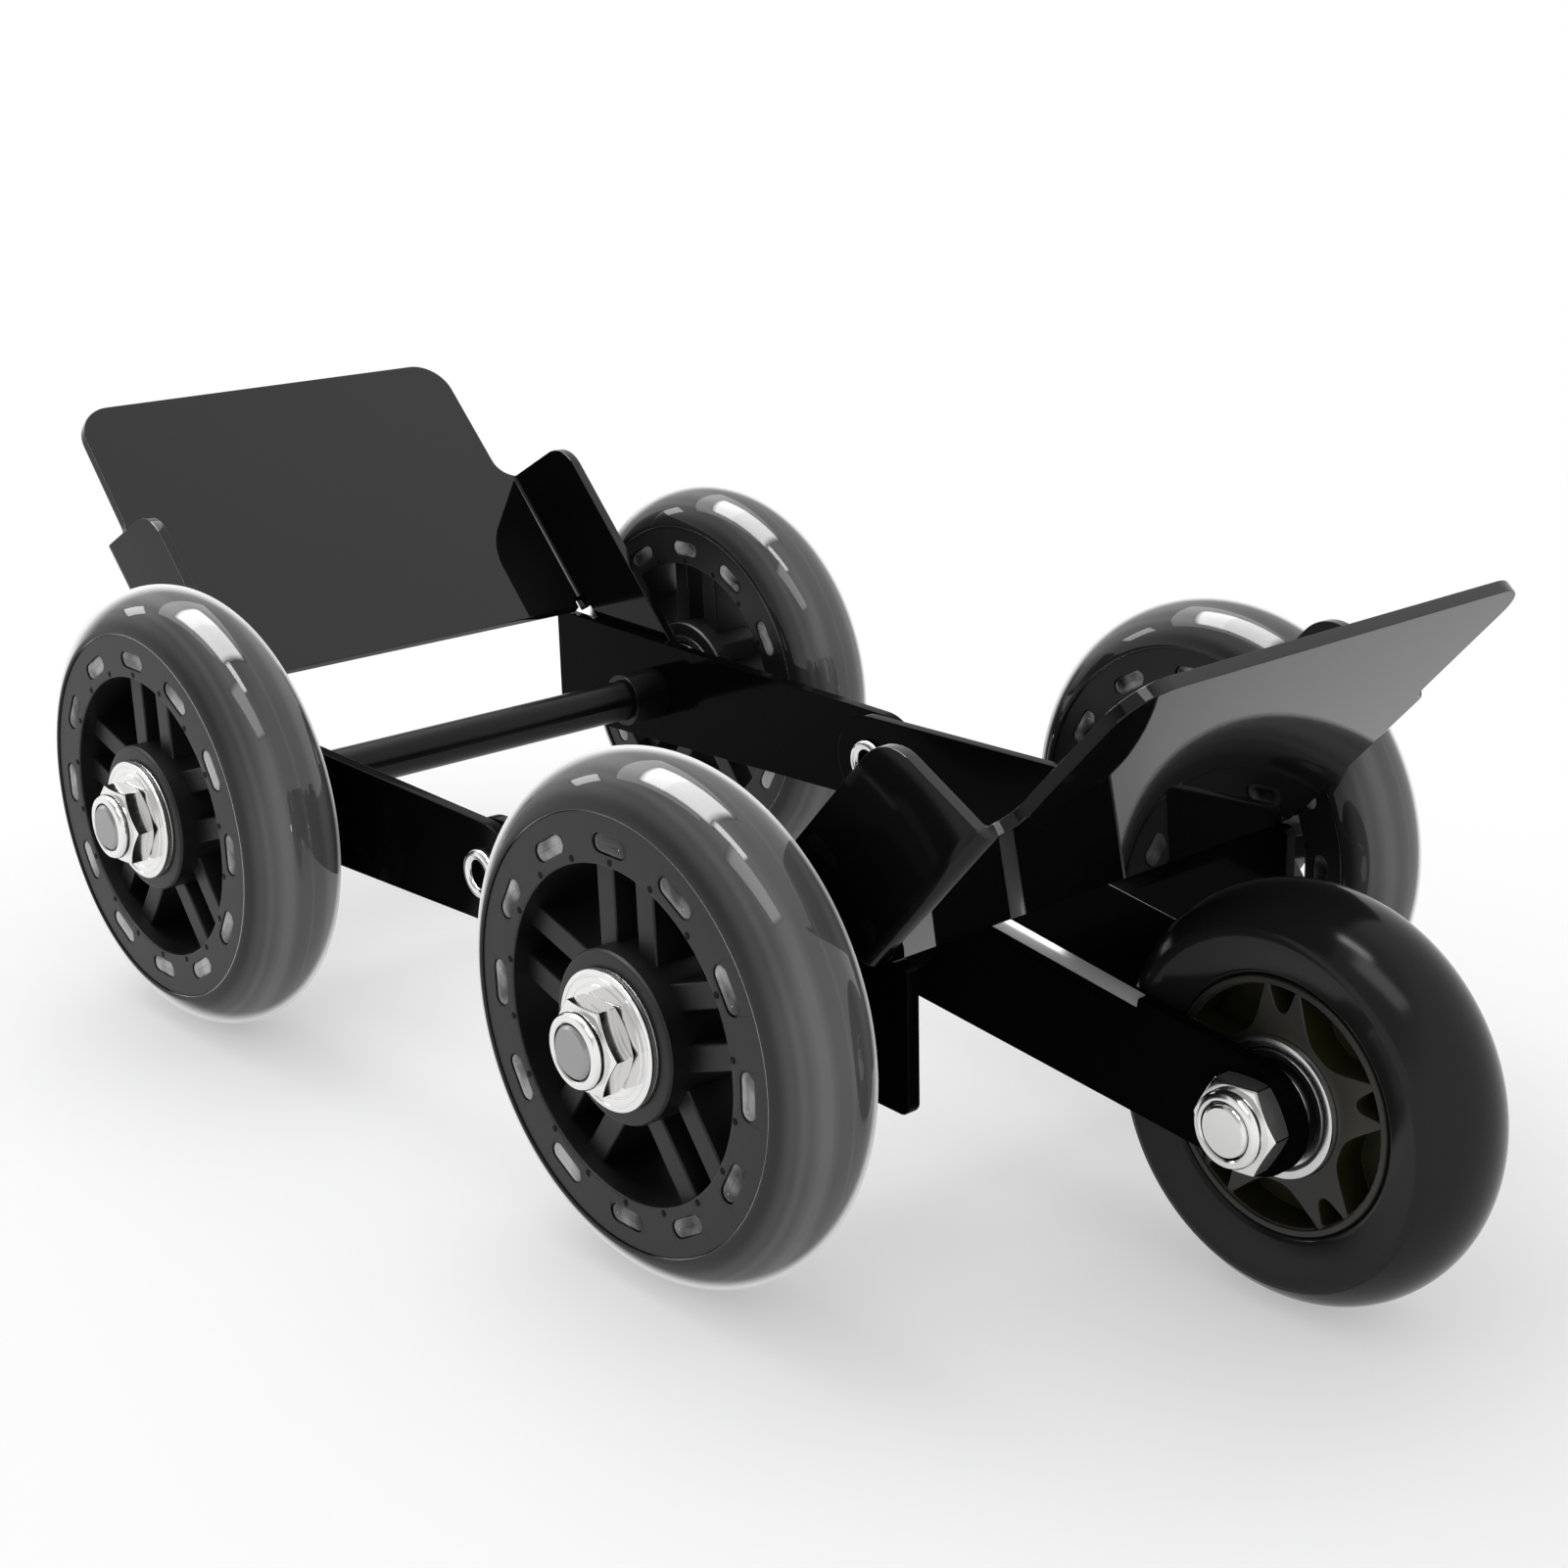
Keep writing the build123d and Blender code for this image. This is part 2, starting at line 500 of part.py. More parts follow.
def dolly():
    """Every node of the dolly by name, with X = 0 at the hinge."""
    nodes = half("left", -1, LEFT_IN, LEFT_OUT, LEFT_TAIL, PIN_R + SLIP)
    nodes.update(half("right", 1, RIGHT_IN, RIGHT_OUT, RIGHT_TAIL, PIN_R + RUNNING))
    for end, low, high in both_sides(LEFT_IN - COLLAR_LENGTH, LEFT_IN):
        nodes[f"left_collar_{end}"] = ring(COLLAR_R, ROD_R + SLIP, low, high, -AXLE_X, AXLE_Z)
    for end, low, high in both_sides(FORK_OUT + TUBE_SIDE_GAP, RIGHT_IN):
        nodes[f"right_tube_{end}"] = ring(TUBE_R, ROD_R + SLIP, low, high, AXLE_X, AXLE_Z)
    for end, low, high in both_sides(RIGHT_OUT, LEFT_OUT):
        nodes[f"right_pad_{end}"] = ring(PAD_R, ROD_R + SLIP, low, high, AXLE_X, AXLE_Z)
    for end, direction in (("near", -1), ("far", 1)):
        nodes[f"hinge_pin_{end}"] = hinge_pin(direction)

    nodes["nose_fork"] = fork()
    nodes["nose_bolt"] = hex_bolt()
    nodes["nose_nut"] = lock_nut(NOSE_X, NOSE_Z, FORK_OUT, -1)
    for end, low, high in both_sides(NOSE_BEARING_SPAN / 2 + END_PLAY, FORK_IN):
        nodes[f"nose_spacer_{end}"] = ring(NOSE_SPACER_R, ROD_R + SLIP, low, high, NOSE_X, NOSE_Z)

    tyre = road_tyre()
    hub = road_hub()
    for half_name, side in (("left", -1), ("right", 1)):
        for end, direction in (("near", -1), ("far", 1)):
            place = Pos(side * AXLE_X, direction * WHEEL_Y, AXLE_Z)
            nodes.update(wheel(f"{half_name}_{end}", place, tyre, hub, BEARING_SPAN))
    nodes.update(wheel("nose", Pos(NOSE_X, 0, NOSE_Z), nose_tyre(), nose_hub(), NOSE_BEARING_SPAN))
    return nodes


def footprint_middle():
    """X of the middle of the dolly's length, seen from the hinge."""
    cradle_tip = AXLE_X + (AXLE_OFFSET + CRADLE_T) * sin(radians(CRADLE_SLOPE))
    cradle_tip += CRADLE_TOP * cos(radians(CRADLE_SLOPE))
    left_end = max(cradle_tip, AXLE_X + WHEEL_R, ARM_END_X)
    right_end = max(cradle_tip, NOSE_X + NOSE_R)
    return (right_end - left_end) / 2


os.makedirs("parts", exist_ok=True)
for node, shape in dolly().items():
    export_step(Pos(-footprint_middle(), 0, 0) * shape, f"parts/{node}.step")
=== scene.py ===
"""Looks of a folding tyre dolly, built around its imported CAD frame.

The dolly has two halves of flat black bar that fold at a hinge, two cradle plates that flip in, four road
wheels with smoke-grey tyres and a small nose wheel on a swinging fork. Blender works in metres. The sizes of
the dolly's pieces below are in millimetres, as on a drawing, and MM turns them into metres. The camera and
the studio are in metres.
"""

import json
import logging
import math
from collections.abc import Callable, Iterator, Mapping, Sequence
from contextlib import contextmanager
from dataclasses import dataclass, field
from enum import Enum
from typing import Union

import bpy
from mathutils import Matrix, Vector

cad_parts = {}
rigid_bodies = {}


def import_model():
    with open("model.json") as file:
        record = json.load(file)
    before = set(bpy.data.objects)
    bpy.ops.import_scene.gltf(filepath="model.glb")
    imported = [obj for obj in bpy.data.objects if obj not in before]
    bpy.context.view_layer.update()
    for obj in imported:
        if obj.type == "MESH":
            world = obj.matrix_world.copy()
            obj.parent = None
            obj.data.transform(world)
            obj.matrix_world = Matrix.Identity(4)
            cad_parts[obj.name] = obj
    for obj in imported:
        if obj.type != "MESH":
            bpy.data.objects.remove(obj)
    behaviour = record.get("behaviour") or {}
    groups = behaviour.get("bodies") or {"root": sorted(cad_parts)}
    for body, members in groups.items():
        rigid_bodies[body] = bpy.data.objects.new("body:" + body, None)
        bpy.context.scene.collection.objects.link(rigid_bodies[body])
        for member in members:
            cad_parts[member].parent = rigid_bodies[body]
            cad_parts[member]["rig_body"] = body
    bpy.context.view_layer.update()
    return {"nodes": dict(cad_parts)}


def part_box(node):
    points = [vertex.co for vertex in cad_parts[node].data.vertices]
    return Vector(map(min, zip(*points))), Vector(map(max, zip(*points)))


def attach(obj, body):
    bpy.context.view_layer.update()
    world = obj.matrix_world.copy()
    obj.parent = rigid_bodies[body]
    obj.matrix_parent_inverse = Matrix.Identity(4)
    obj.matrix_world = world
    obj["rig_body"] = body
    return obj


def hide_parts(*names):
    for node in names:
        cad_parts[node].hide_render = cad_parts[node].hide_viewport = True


LOG = logging.getLogger("tyre_dolly")
MM = 0.001

Piece = bpy.types.Object
Material = bpy.types.Material
Face = bpy.types.MeshPolygon
FaceTest = Callable[[Face], bool]
EdgeTest = Callable[[Vector, Vector], bool]
Colour = tuple[float, float, float, float]
Outline = list[tuple[float, float]]
Place = tuple[float, float, float]
Span = tuple[float, float]
Number = Union["Wire", float]
Settings = Mapping[str, object]
Sockets = Mapping[str | int, object]


def grey(value: float, warmth: float = 0.0) -> Colour:
    """Neutral colour of one linear brightness, warmer or cooler by a small share."""
    return (value * (1 + warmth), value, value * (1 - warmth), 1.0)


def both_faces(face: Outline) -> Outline:
    """Closed section of a turned piece from the outline of one face, with its mirror image as the other."""
    return face + [(r, -y) for r, y in reversed(face)] + face[:1]


def crown(radius: float, half: float, drop: float, foot: float, steps: int) -> Outline:
    """Round crown of a tyre's section.

    Args:
        radius: Radius of the tyre at the top of its crown.
        half: Half the width of an arc that falls by drop.
        drop: How far that arc falls on its way out.
        foot: Radius at which the crown stops.
        steps: Number of stretches that it is drawn with.

    Returns:
        Points from the outer shoulder over the top to the inner one.
    """
    tube = (half ** 2 + drop ** 2) / (2 * drop)
    mid = radius - tube
    reach = math.acos((foot - mid) / tube)
    angles = [reach * (1 - 2 * step / steps) for step in range(steps + 1)]
    return [(mid + tube * math.cos(angle), tube * math.sin(angle)) for angle in angles]


def facing(direction: Vector) -> Matrix:
    """Turn that points a lamp or a pane along a direction."""
    return direction.to_track_quat("-Z", "Y").to_matrix().to_4x4()


class Slot(Enum):
    """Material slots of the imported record."""

    PAINT = "black_paint"
    STEEL = "black_steel"
    CHROME = "chrome_hardware"
    BEARING = "bearing_steel"
    URETHANE = "smoke_urethane"
    HUB = "hub_plastic"
    RUBBER = "nose_rubber"
    OLIVE = "olive_plastic"


class Side(Enum):
    """Which end of an axle a piece sits on, with the sign of its Y."""

    NEAR = -1
    FAR = 1

    @property
    def word(self) -> str:
        """The side's name as the CAD nodes spell it."""
        return self.name.lower()


class Half(Enum):
    """The two halves of the frame, as the CAD nodes spell them."""

    LEFT = "left"
    RIGHT = "right"


class Wire:
    """Output socket of a shader tree that takes part in Python arithmetic."""

    def __init__(self, shader: "Shader", socket: bpy.types.NodeSocket) -> None:
        """Keep the socket and the shader that it belongs to."""
        self.shader = shader
        self.socket = socket

    def maths(self, operation: str, *values: Number) -> "Wire":
        """Result of one Math node that takes these values in order."""
        return self.shader.out("ShaderNodeMath", {"operation": operation}, dict(enumerate(values)))

    def __add__(self, other: Number) -> "Wire":
        """Sum."""
        return self.maths("ADD", self, other)

    def __radd__(self, other: Number) -> "Wire":
        """Sum with a number in front."""
        return self.maths("ADD", other, self)

    def __sub__(self, other: Number) -> "Wire":
        """Difference."""
        return self.maths("SUBTRACT", self, other)

    def __rsub__(self, other: Number) -> "Wire":
        """Difference from a number."""
        return self.maths("SUBTRACT", other, self)

    def __mul__(self, other: Number) -> "Wire":
        """Product."""
        return self.maths("MULTIPLY", self, other)

    def __rmul__(self, other: Number) -> "Wire":
        """Product with a number in front."""
        return self.maths("MULTIPLY", other, self)

    def __pow__(self, other: Number) -> "Wire":
        """Power."""
        return self.maths("POWER", self, other)

    def __abs__(self) -> "Wire":
        """Value without its sign."""
        return self.maths("ABSOLUTE", self)

    def ramp(self, low: float, high: float) -> "Wire":
        """Smooth step from 0 at low to 1 at high."""
        sockets = {"Value": self, "From Min": low, "From Max": high}
        return self.shader.out("ShaderNodeMapRange", {"interpolation_type": "SMOOTHSTEP"}, sockets)


class Shader:
    """Node tree of one material or of the world."""

    def __init__(self, owner: Material | bpy.types.World) -> None:
        """Start an empty tree.

        Args:
            owner: The material or the world that it belongs to.
        """
        self.owner = owner
        owner.use_nodes = True
        self.tree = owner.node_tree
        self.tree.nodes.clear()
        output = "Object" if isinstance(owner, Material) else "Generated"
        self.place = self.out("ShaderNodeTexCoord", output=output)

    @classmethod
    def of(cls, name: str) -> "Shader":
        """Empty tree of a new material of that name."""
        return cls(bpy.data.materials.new(name))

    def node(self, kind: str, settings: Settings | None = None,
             sockets: Sockets | None = None) -> bpy.types.Node:
        """Add any node.

        Args:
            kind: The node's type.
            settings: The node's own properties, set first.
            sockets: Values, or wires to link, by socket name or number.

        Returns:
            The new node.
        """
        made = self.tree.nodes.new(kind)
        for key, value in (settings or {}).items():
            setattr(made, key, value)
        for key, value in (sockets or {}).items():
            if isinstance(value, Wire):
                self.tree.links.new(value.socket, made.inputs[key])
            else:
                made.inputs[key].default_value = value
        return made

    def out(self, kind: str, settings: Settings | None = None, sockets: Sockets | None = None,
            output: int | str = 0) -> Wire:
        """Add any node, as node does, and return one of its outputs by name or number."""
        return Wire(self, self.node(kind, settings, sockets).outputs[output])

    def noise(self, per_metre: float, detail: float = 2.0, stretch: Place = (1, 1, 1)) -> Wire:
        """Noise fixed to the piece: lumps in a metre, finer layers, and factors along X, Y and Z."""
        mapped = self.out("ShaderNodeMapping", None, {"Vector": self.place, "Scale": stretch})
        return self.out("ShaderNodeTexNoise", None, {"Vector": mapped, "Scale": per_metre, "Detail": detail})

    def bands(self, along: Wire, per_unit: float, detail: float) -> Wire:
        """Noise that changes along one value only, such as a radius."""
        sockets = {"W": along, "Scale": per_unit, "Detail": detail}
        return self.out("ShaderNodeTexNoise", {"noise_dimensions": "1D"}, sockets)

    def mix(self, factor: Number, first: Colour | Wire, second: Colour | Wire) -> Wire:
        """Blend two colours by a factor; a Mix node keeps its colours in sockets 6 and 7 and its output 2."""
        return self.out("ShaderNodeMix", {"data_type": "RGBA"}, {0: factor, 6: first, 7: second}, output=2)

    def bump(self, height: Wire, depth_mm: float) -> Wire:
        """Normal that follows a height of so many millimetres."""
        sockets = {"Strength": 1.0, "Distance": depth_mm * MM, "Height": height}
        return self.out("ShaderNodeBump", None, sockets)

    def axes(self) -> tuple[Wire, Wire, Wire]:
        """X, Y and Z of the place on the piece, or of the direction in the world."""
        x, y, z = self.node("ShaderNodeSeparateXYZ", None, {0: self.place}).outputs
        return Wire(self, x), Wire(self, y), Wire(self, z)

    def radius(self, centre: Vector) -> Wire:
        """Distance in millimetres from a line across the dolly.

        Args:
            centre: A point on the line.

        Returns:
            The distance.
        """
        x, _, z = self.axes()
        along = (x - centre.x) * (1 / MM)
        up = (z - centre.z) * (1 / MM)
        return (along * along + up * up) ** 0.5

    def close(self, surface: Wire) -> Material:
        """End a material's tree with its surface and return the material."""
        self.node("ShaderNodeOutputMaterial", None, {"Surface": surface})
        return self.owner

    def principled(self, sockets: Sockets) -> Material:
        """End a material's tree with one Principled shader that takes these values or wires."""
        return self.close(self.out("ShaderNodeBsdfPrincipled", None, sockets))


@dataclass(frozen=True)
class GlossEnamel:
    """Black powder coat that flows out to a mirror, with a trace of orange peel."""

    name: str
    tone: float
    roughness: float
    specular: float
    cloud_per_m: float = 22.0
    dust_per_m: float = 2600.0
    peel_per_m: float = 330.0
    peel_mm: float = 0.0012

    def make(self) -> Material:
        """Build the material.

        Returns:
            The finished material.
        """
        shader = Shader.of(self.name)
        cloud = shader.noise(self.cloud_per_m, 3.0)
        dust = shader.noise(self.dust_per_m)
        return shader.principled({
            "Base Color": shader.mix(cloud, grey(self.tone), grey(self.tone * 1.5)),
            "Roughness": self.roughness + 0.03 * cloud + 0.025 * dust.ramp(0.55, 0.8),
            "Specular IOR Level": self.specular,
            "Normal": shader.bump(shader.noise(self.peel_per_m, 1.0), self.peel_mm),
        })


@dataclass(frozen=True)
class DrawnSteel:
    """Blackened drawn bar with faint lines along its length and bare metal at its ends."""

    name: str
    tone: float = 0.003
    roughness: float = 0.16
    specular: float = 0.22
    bare_from: float = 1000.0
    bare_tone: float = 0.34
    line_per_m: float = 1800.0
    line_mm: float = 0.002
    cloud_per_m: float = 60.0

    def make(self) -> Material:
        """Build the material.

        Returns:
            The finished material.
        """
        shader = Shader.of(self.name)
        lines = shader.noise(self.line_per_m, 3.0, (1, 0.02, 1))
        cloud = shader.noise(self.cloud_per_m)
        _, across, _ = shader.axes()
        bare = abs(across).ramp((self.bare_from - 0.3) * MM, self.bare_from * MM)
        black = shader.mix(lines, grey(self.tone * 0.7), grey(self.tone * 1.3))
        metal = shader.mix(cloud, grey(self.bare_tone * 0.85), grey(self.bare_tone * 1.15))
        return shader.principled({
            "Base Color": shader.mix(bare, black, metal),
            "Metallic": bare,
            "Roughness": self.roughness + 0.12 * lines + 0.06 * cloud + 0.14 * bare,
            "Specular IOR Level": self.specular,
            "Normal": shader.bump(lines, self.line_mm),
        })


@dataclass(frozen=True)
class BrightPlating:
    """Bright zinc and nickel plating with a soft haze and fine handling marks."""

    name: str
    tone: float
    roughness: float
    haze_per_m: float = 160.0
    mark_per_m: float = 2200.0
    mark_mm: float = 0.0008

    def make(self) -> Material:
        """Build the material.

        Returns:
            The finished material.
        """
        shader = Shader.of(self.name)
        haze = shader.noise(self.haze_per_m, 3.0)
        marks = shader.noise(self.mark_per_m, 2.0, (1, 0.2, 0.25))
        return shader.principled({
            "Base Color": shader.mix(haze, grey(self.tone * 0.92, 0.008), grey(self.tone, 0.004)),
            "Metallic": 1.0,
            "Roughness": self.roughness + 0.08 * haze + 0.05 * marks.ramp(0.5, 0.75),
            "Normal": shader.bump(marks, self.mark_mm),
        })


@dataclass(frozen=True)
class TurnedSteel:
    """Ground bearing races with a dark shield between them and a bright lip on it, about one axle."""

    name: str
    shield: Span
    lip: Span
    tone: float = 0.72
    roughness: float = 0.2
    ring_per_mm: float = 45.0
    ring_mm: float = 0.0015

    def make(self, centre: Vector) -> Material:
        """Build the material for a bearing.

        Args:
            centre: A point on the bearing's axle.

        Returns:
            The finished material.
        """
        shader = Shader.of(self.name)
        radius = shader.radius(centre)
        rings = shader.bands(radius, self.ring_per_mm, 2.0)

        def ring(span: Span, soft: float) -> Wire:
            """Mask of the ring between two radii, with soft edges."""
            low, high = span
            return radius.ramp(low - soft, low + soft) * (1.0 - radius.ramp(high - soft, high + soft))

        dark = ring(self.shield, 0.15) * (1.0 - ring(self.lip, 0.1))
        return shader.principled({
            "Base Color": shader.mix(dark, grey(self.tone), grey(self.tone * 0.06)),
            "Metallic": 1.0,
            "Roughness": self.roughness + 0.1 * rings + 0.25 * dark,
            "Normal": shader.bump(rings, self.ring_mm),
        })


@dataclass(frozen=True)
class SmokeUrethane:
    """Smoke-grey poured urethane with a glassy skin.

    It is dark over the hub's rim, paler where it is thick and clouded in layers that follow its section; at
    its outline white diffuse is mixed in as a painted highlight, standing in for the room shining through a
    clear tyre.
    """

    name: str
    rim_r: float
    crown_r: float
    rim_tone: float = 0.02
    crown_tone: float = 0.12
    deep_rim: float = 0.01
    deep_crown: float = 0.054
    flow_per_m: float = 26.0
    flow_mm: float = 0.02
    layer_lean: float = 0.8
    layer_per_mm: float = 0.28
    layer_share: float = 0.65
    roughness: float = 0.3
    haze_per_m: float = 300.0
    rim_coat: float = 0.55
    crown_coat: float = 0.4
    coat_roughness: float = 0.03
    edge_tone: float = 0.9
    edge_from: Span = (0.64, 0.84)
    edge_share: float = 0.9

    def make(self, centre: Vector) -> Material:
        """Build the material for one wheel.

        Args:
            centre: A point on the wheel's axle.

        Returns:
            The finished material.
        """
        shader = Shader.of(self.name)
        flow = shader.noise(self.flow_per_m, 2.0, (1, 0.4, 1))
        haze = shader.noise(self.haze_per_m)
        radius = shader.radius(centre)
        thick = radius.ramp(self.rim_r, self.crown_r)
        _, across, _ = shader.axes()
        side = abs((across - centre.y) * (1 / MM))
        layers = shader.bands(radius - self.layer_lean * side, self.layer_per_mm, 0.5)
        cloud = self.layer_share * layers.ramp(0.3, 0.7) + (1 - self.layer_share) * flow.ramp(0.35, 0.7)
        smoke = shader.mix(thick, grey(self.rim_tone), grey(self.crown_tone))
        deep = shader.mix(thick, grey(self.deep_rim), grey(self.deep_crown))
        skin = shader.out("ShaderNodeBsdfPrincipled", None, {
            "Base Color": shader.mix(cloud, smoke, deep),
            "Roughness": self.roughness + 0.1 * haze,
            "Specular IOR Level": 0.0,
            "Coat Weight": self.rim_coat + self.crown_coat * thick + 0.05 * flow,
            "Coat Roughness": self.coat_roughness,
            "Normal": shader.bump(flow, self.flow_mm),
        })
        # Painted highlight: white diffuse is mixed in at the outline, more where the surface turns away from
        # view.
        lit = shader.out("ShaderNodeBsdfDiffuse", None, {"Color": grey(self.edge_tone)})
        turned = shader.out("ShaderNodeLayerWeight", None, {"Blend": 0.5}, output="Facing")
        edge = turned.ramp(*self.edge_from) * self.edge_share
        return shader.close(shader.out("ShaderNodeMixShader", None, {0: edge, 1: skin, 2: lit}))


@dataclass(frozen=True)
class MouldedPlastic:
    """Moulded nylon or urethane with a spark-eroded grain and paler flow lines."""

    name: str
    dark: Colour
    light: Colour
    roughness: float
    specular: float = 0.45
    flow_per_m: float = 70.0
    grain_per_m: float = 2400.0
    grain_mm: float = 0.006

    def make(self) -> Material:
        """Build the material.

        Returns:
            The finished material.
        """
        shader = Shader.of(self.name)
        flow = shader.noise(self.flow_per_m, 3.0)
        grain = shader.noise(self.grain_per_m)
        return shader.principled({
            "Base Color": shader.mix(flow.ramp(0.35, 0.65), self.dark, self.light),
            "Roughness": self.roughness + 0.1 * flow + 0.08 * grain,
            "Specular IOR Level": self.specular,
            "Normal": shader.bump(grain, self.grain_mm),
        })


@dataclass(frozen=True)
class MouldedRubber:
    """Black moulded tyre with a soft gloss and rings left by the turned mould."""

    name: str
    tone: float = 0.011
    roughness: float = 0.11
    specular: float = 0.19
    ring_per_mm: float = 12.5
    bloom_per_m: float = 40.0
    grain_per_m: float = 1500.0
    grain_mm: float = 0.003

    def make(self, centre: Vector) -> Material:
        """Build the material for one tyre.

        Args:
            centre: A point on the wheel's axle.

        Returns:
            The finished material.
        """
        shader = Shader.of(self.name)
        rings = shader.bands(shader.radius(centre), self.ring_per_mm, 3.0)
        bloom = shader.noise(self.bloom_per_m, 3.0)
        grain = shader.noise(self.grain_per_m)
        return shader.principled({
            "Base Color": shader.mix(bloom, grey(self.tone * 0.8), grey(self.tone * 1.3)),
            "Roughness": self.roughness + 0.06 * bloom + 0.04 * rings,
            "Specular IOR Level": self.specular,
            "Normal": shader.bump(0.7 * rings + 0.3 * grain, self.grain_mm),
        })


class Coat(Enum):
    """Finishes that several pieces share."""

    FRAME = GlossEnamel("frame_enamel", tone=0.0015, roughness=0.08, specular=0.025)
    PLATE = GlossEnamel("plate_enamel", tone=0.003, roughness=0.01, specular=0.5)
    # Painted shade: ears and plate backs get less glossy copies of the plate enamel, so that they render
    # darker.
    EAR = GlossEnamel("ear_enamel", tone=0.002, roughness=0.06, specular=0.14)
    PLATE_BACK = GlossEnamel("plate_back_enamel", tone=0.003, roughness=0.01, specular=0.2)
    FORK = GlossEnamel("fork_enamel", tone=0.002, roughness=0.3, specular=0.0)
    # Painted highlight: the fork's long bends are pale grey instead of black, standing in for the bright line
    # along them.
    FORK_BEND = GlossEnamel("fork_bend_enamel", tone=0.3, roughness=0.2, specular=0.9)
    BAR = DrawnSteel("black_bar")
    ROD = DrawnSteel("black_bar_bare_ends", bare_from=91.0)
    CHROME = BrightPlating("bright_plating", tone=0.86, roughness=0.09)
    # Darker and rougher copy of the plating for the nose nut's flats; its darker tone is painted shade.
    BRUSHED = BrightPlating("brushed_plating", tone=0.3, roughness=0.42)
    # Painted light: the slot urethane runs up to a pale grey far lighter than the tyre, standing in for light
    # shining through the slots and for glints on them.
    SLOT_URETHANE = MouldedPlastic("slot_urethane", grey(0.008), grey(0.4), 0.06, flow_per_m=85.0,
                                   grain_mm=0.002)
    # Painted highlight: a pale dome at the end of each slot stands in for a glint.
    SLOT_BEAD = MouldedPlastic("slot_bead", grey(0.6), grey(0.8), 0.06, grain_mm=0.002)
    HUB = MouldedPlastic("hub_nylon", grey(0.003), grey(0.006), 0.34, specular=0.38)
    # Dark finish of the hub's mould marks, also used as painted shade in the wells of the hinge pins.
    MOULD_MARK = MouldedPlastic("mould_mark", grey(0.002), grey(0.004), 0.5, specular=0.1)
    OLIVE = MouldedPlastic("olive_nylon", (0.011, 0.0105, 0.007, 1), (0.019, 0.018, 0.012, 1), 0.36)
    # Painted shade: a yellower, less glossy copy of the hub's olive for the pockets, so that they render
    # darker than the faces.
    OLIVE_POCKET = MouldedPlastic("olive_pocket", (0.012, 0.0115, 0.003, 1), (0.02, 0.019, 0.005, 1), 0.4,
                                  specular=0.25)


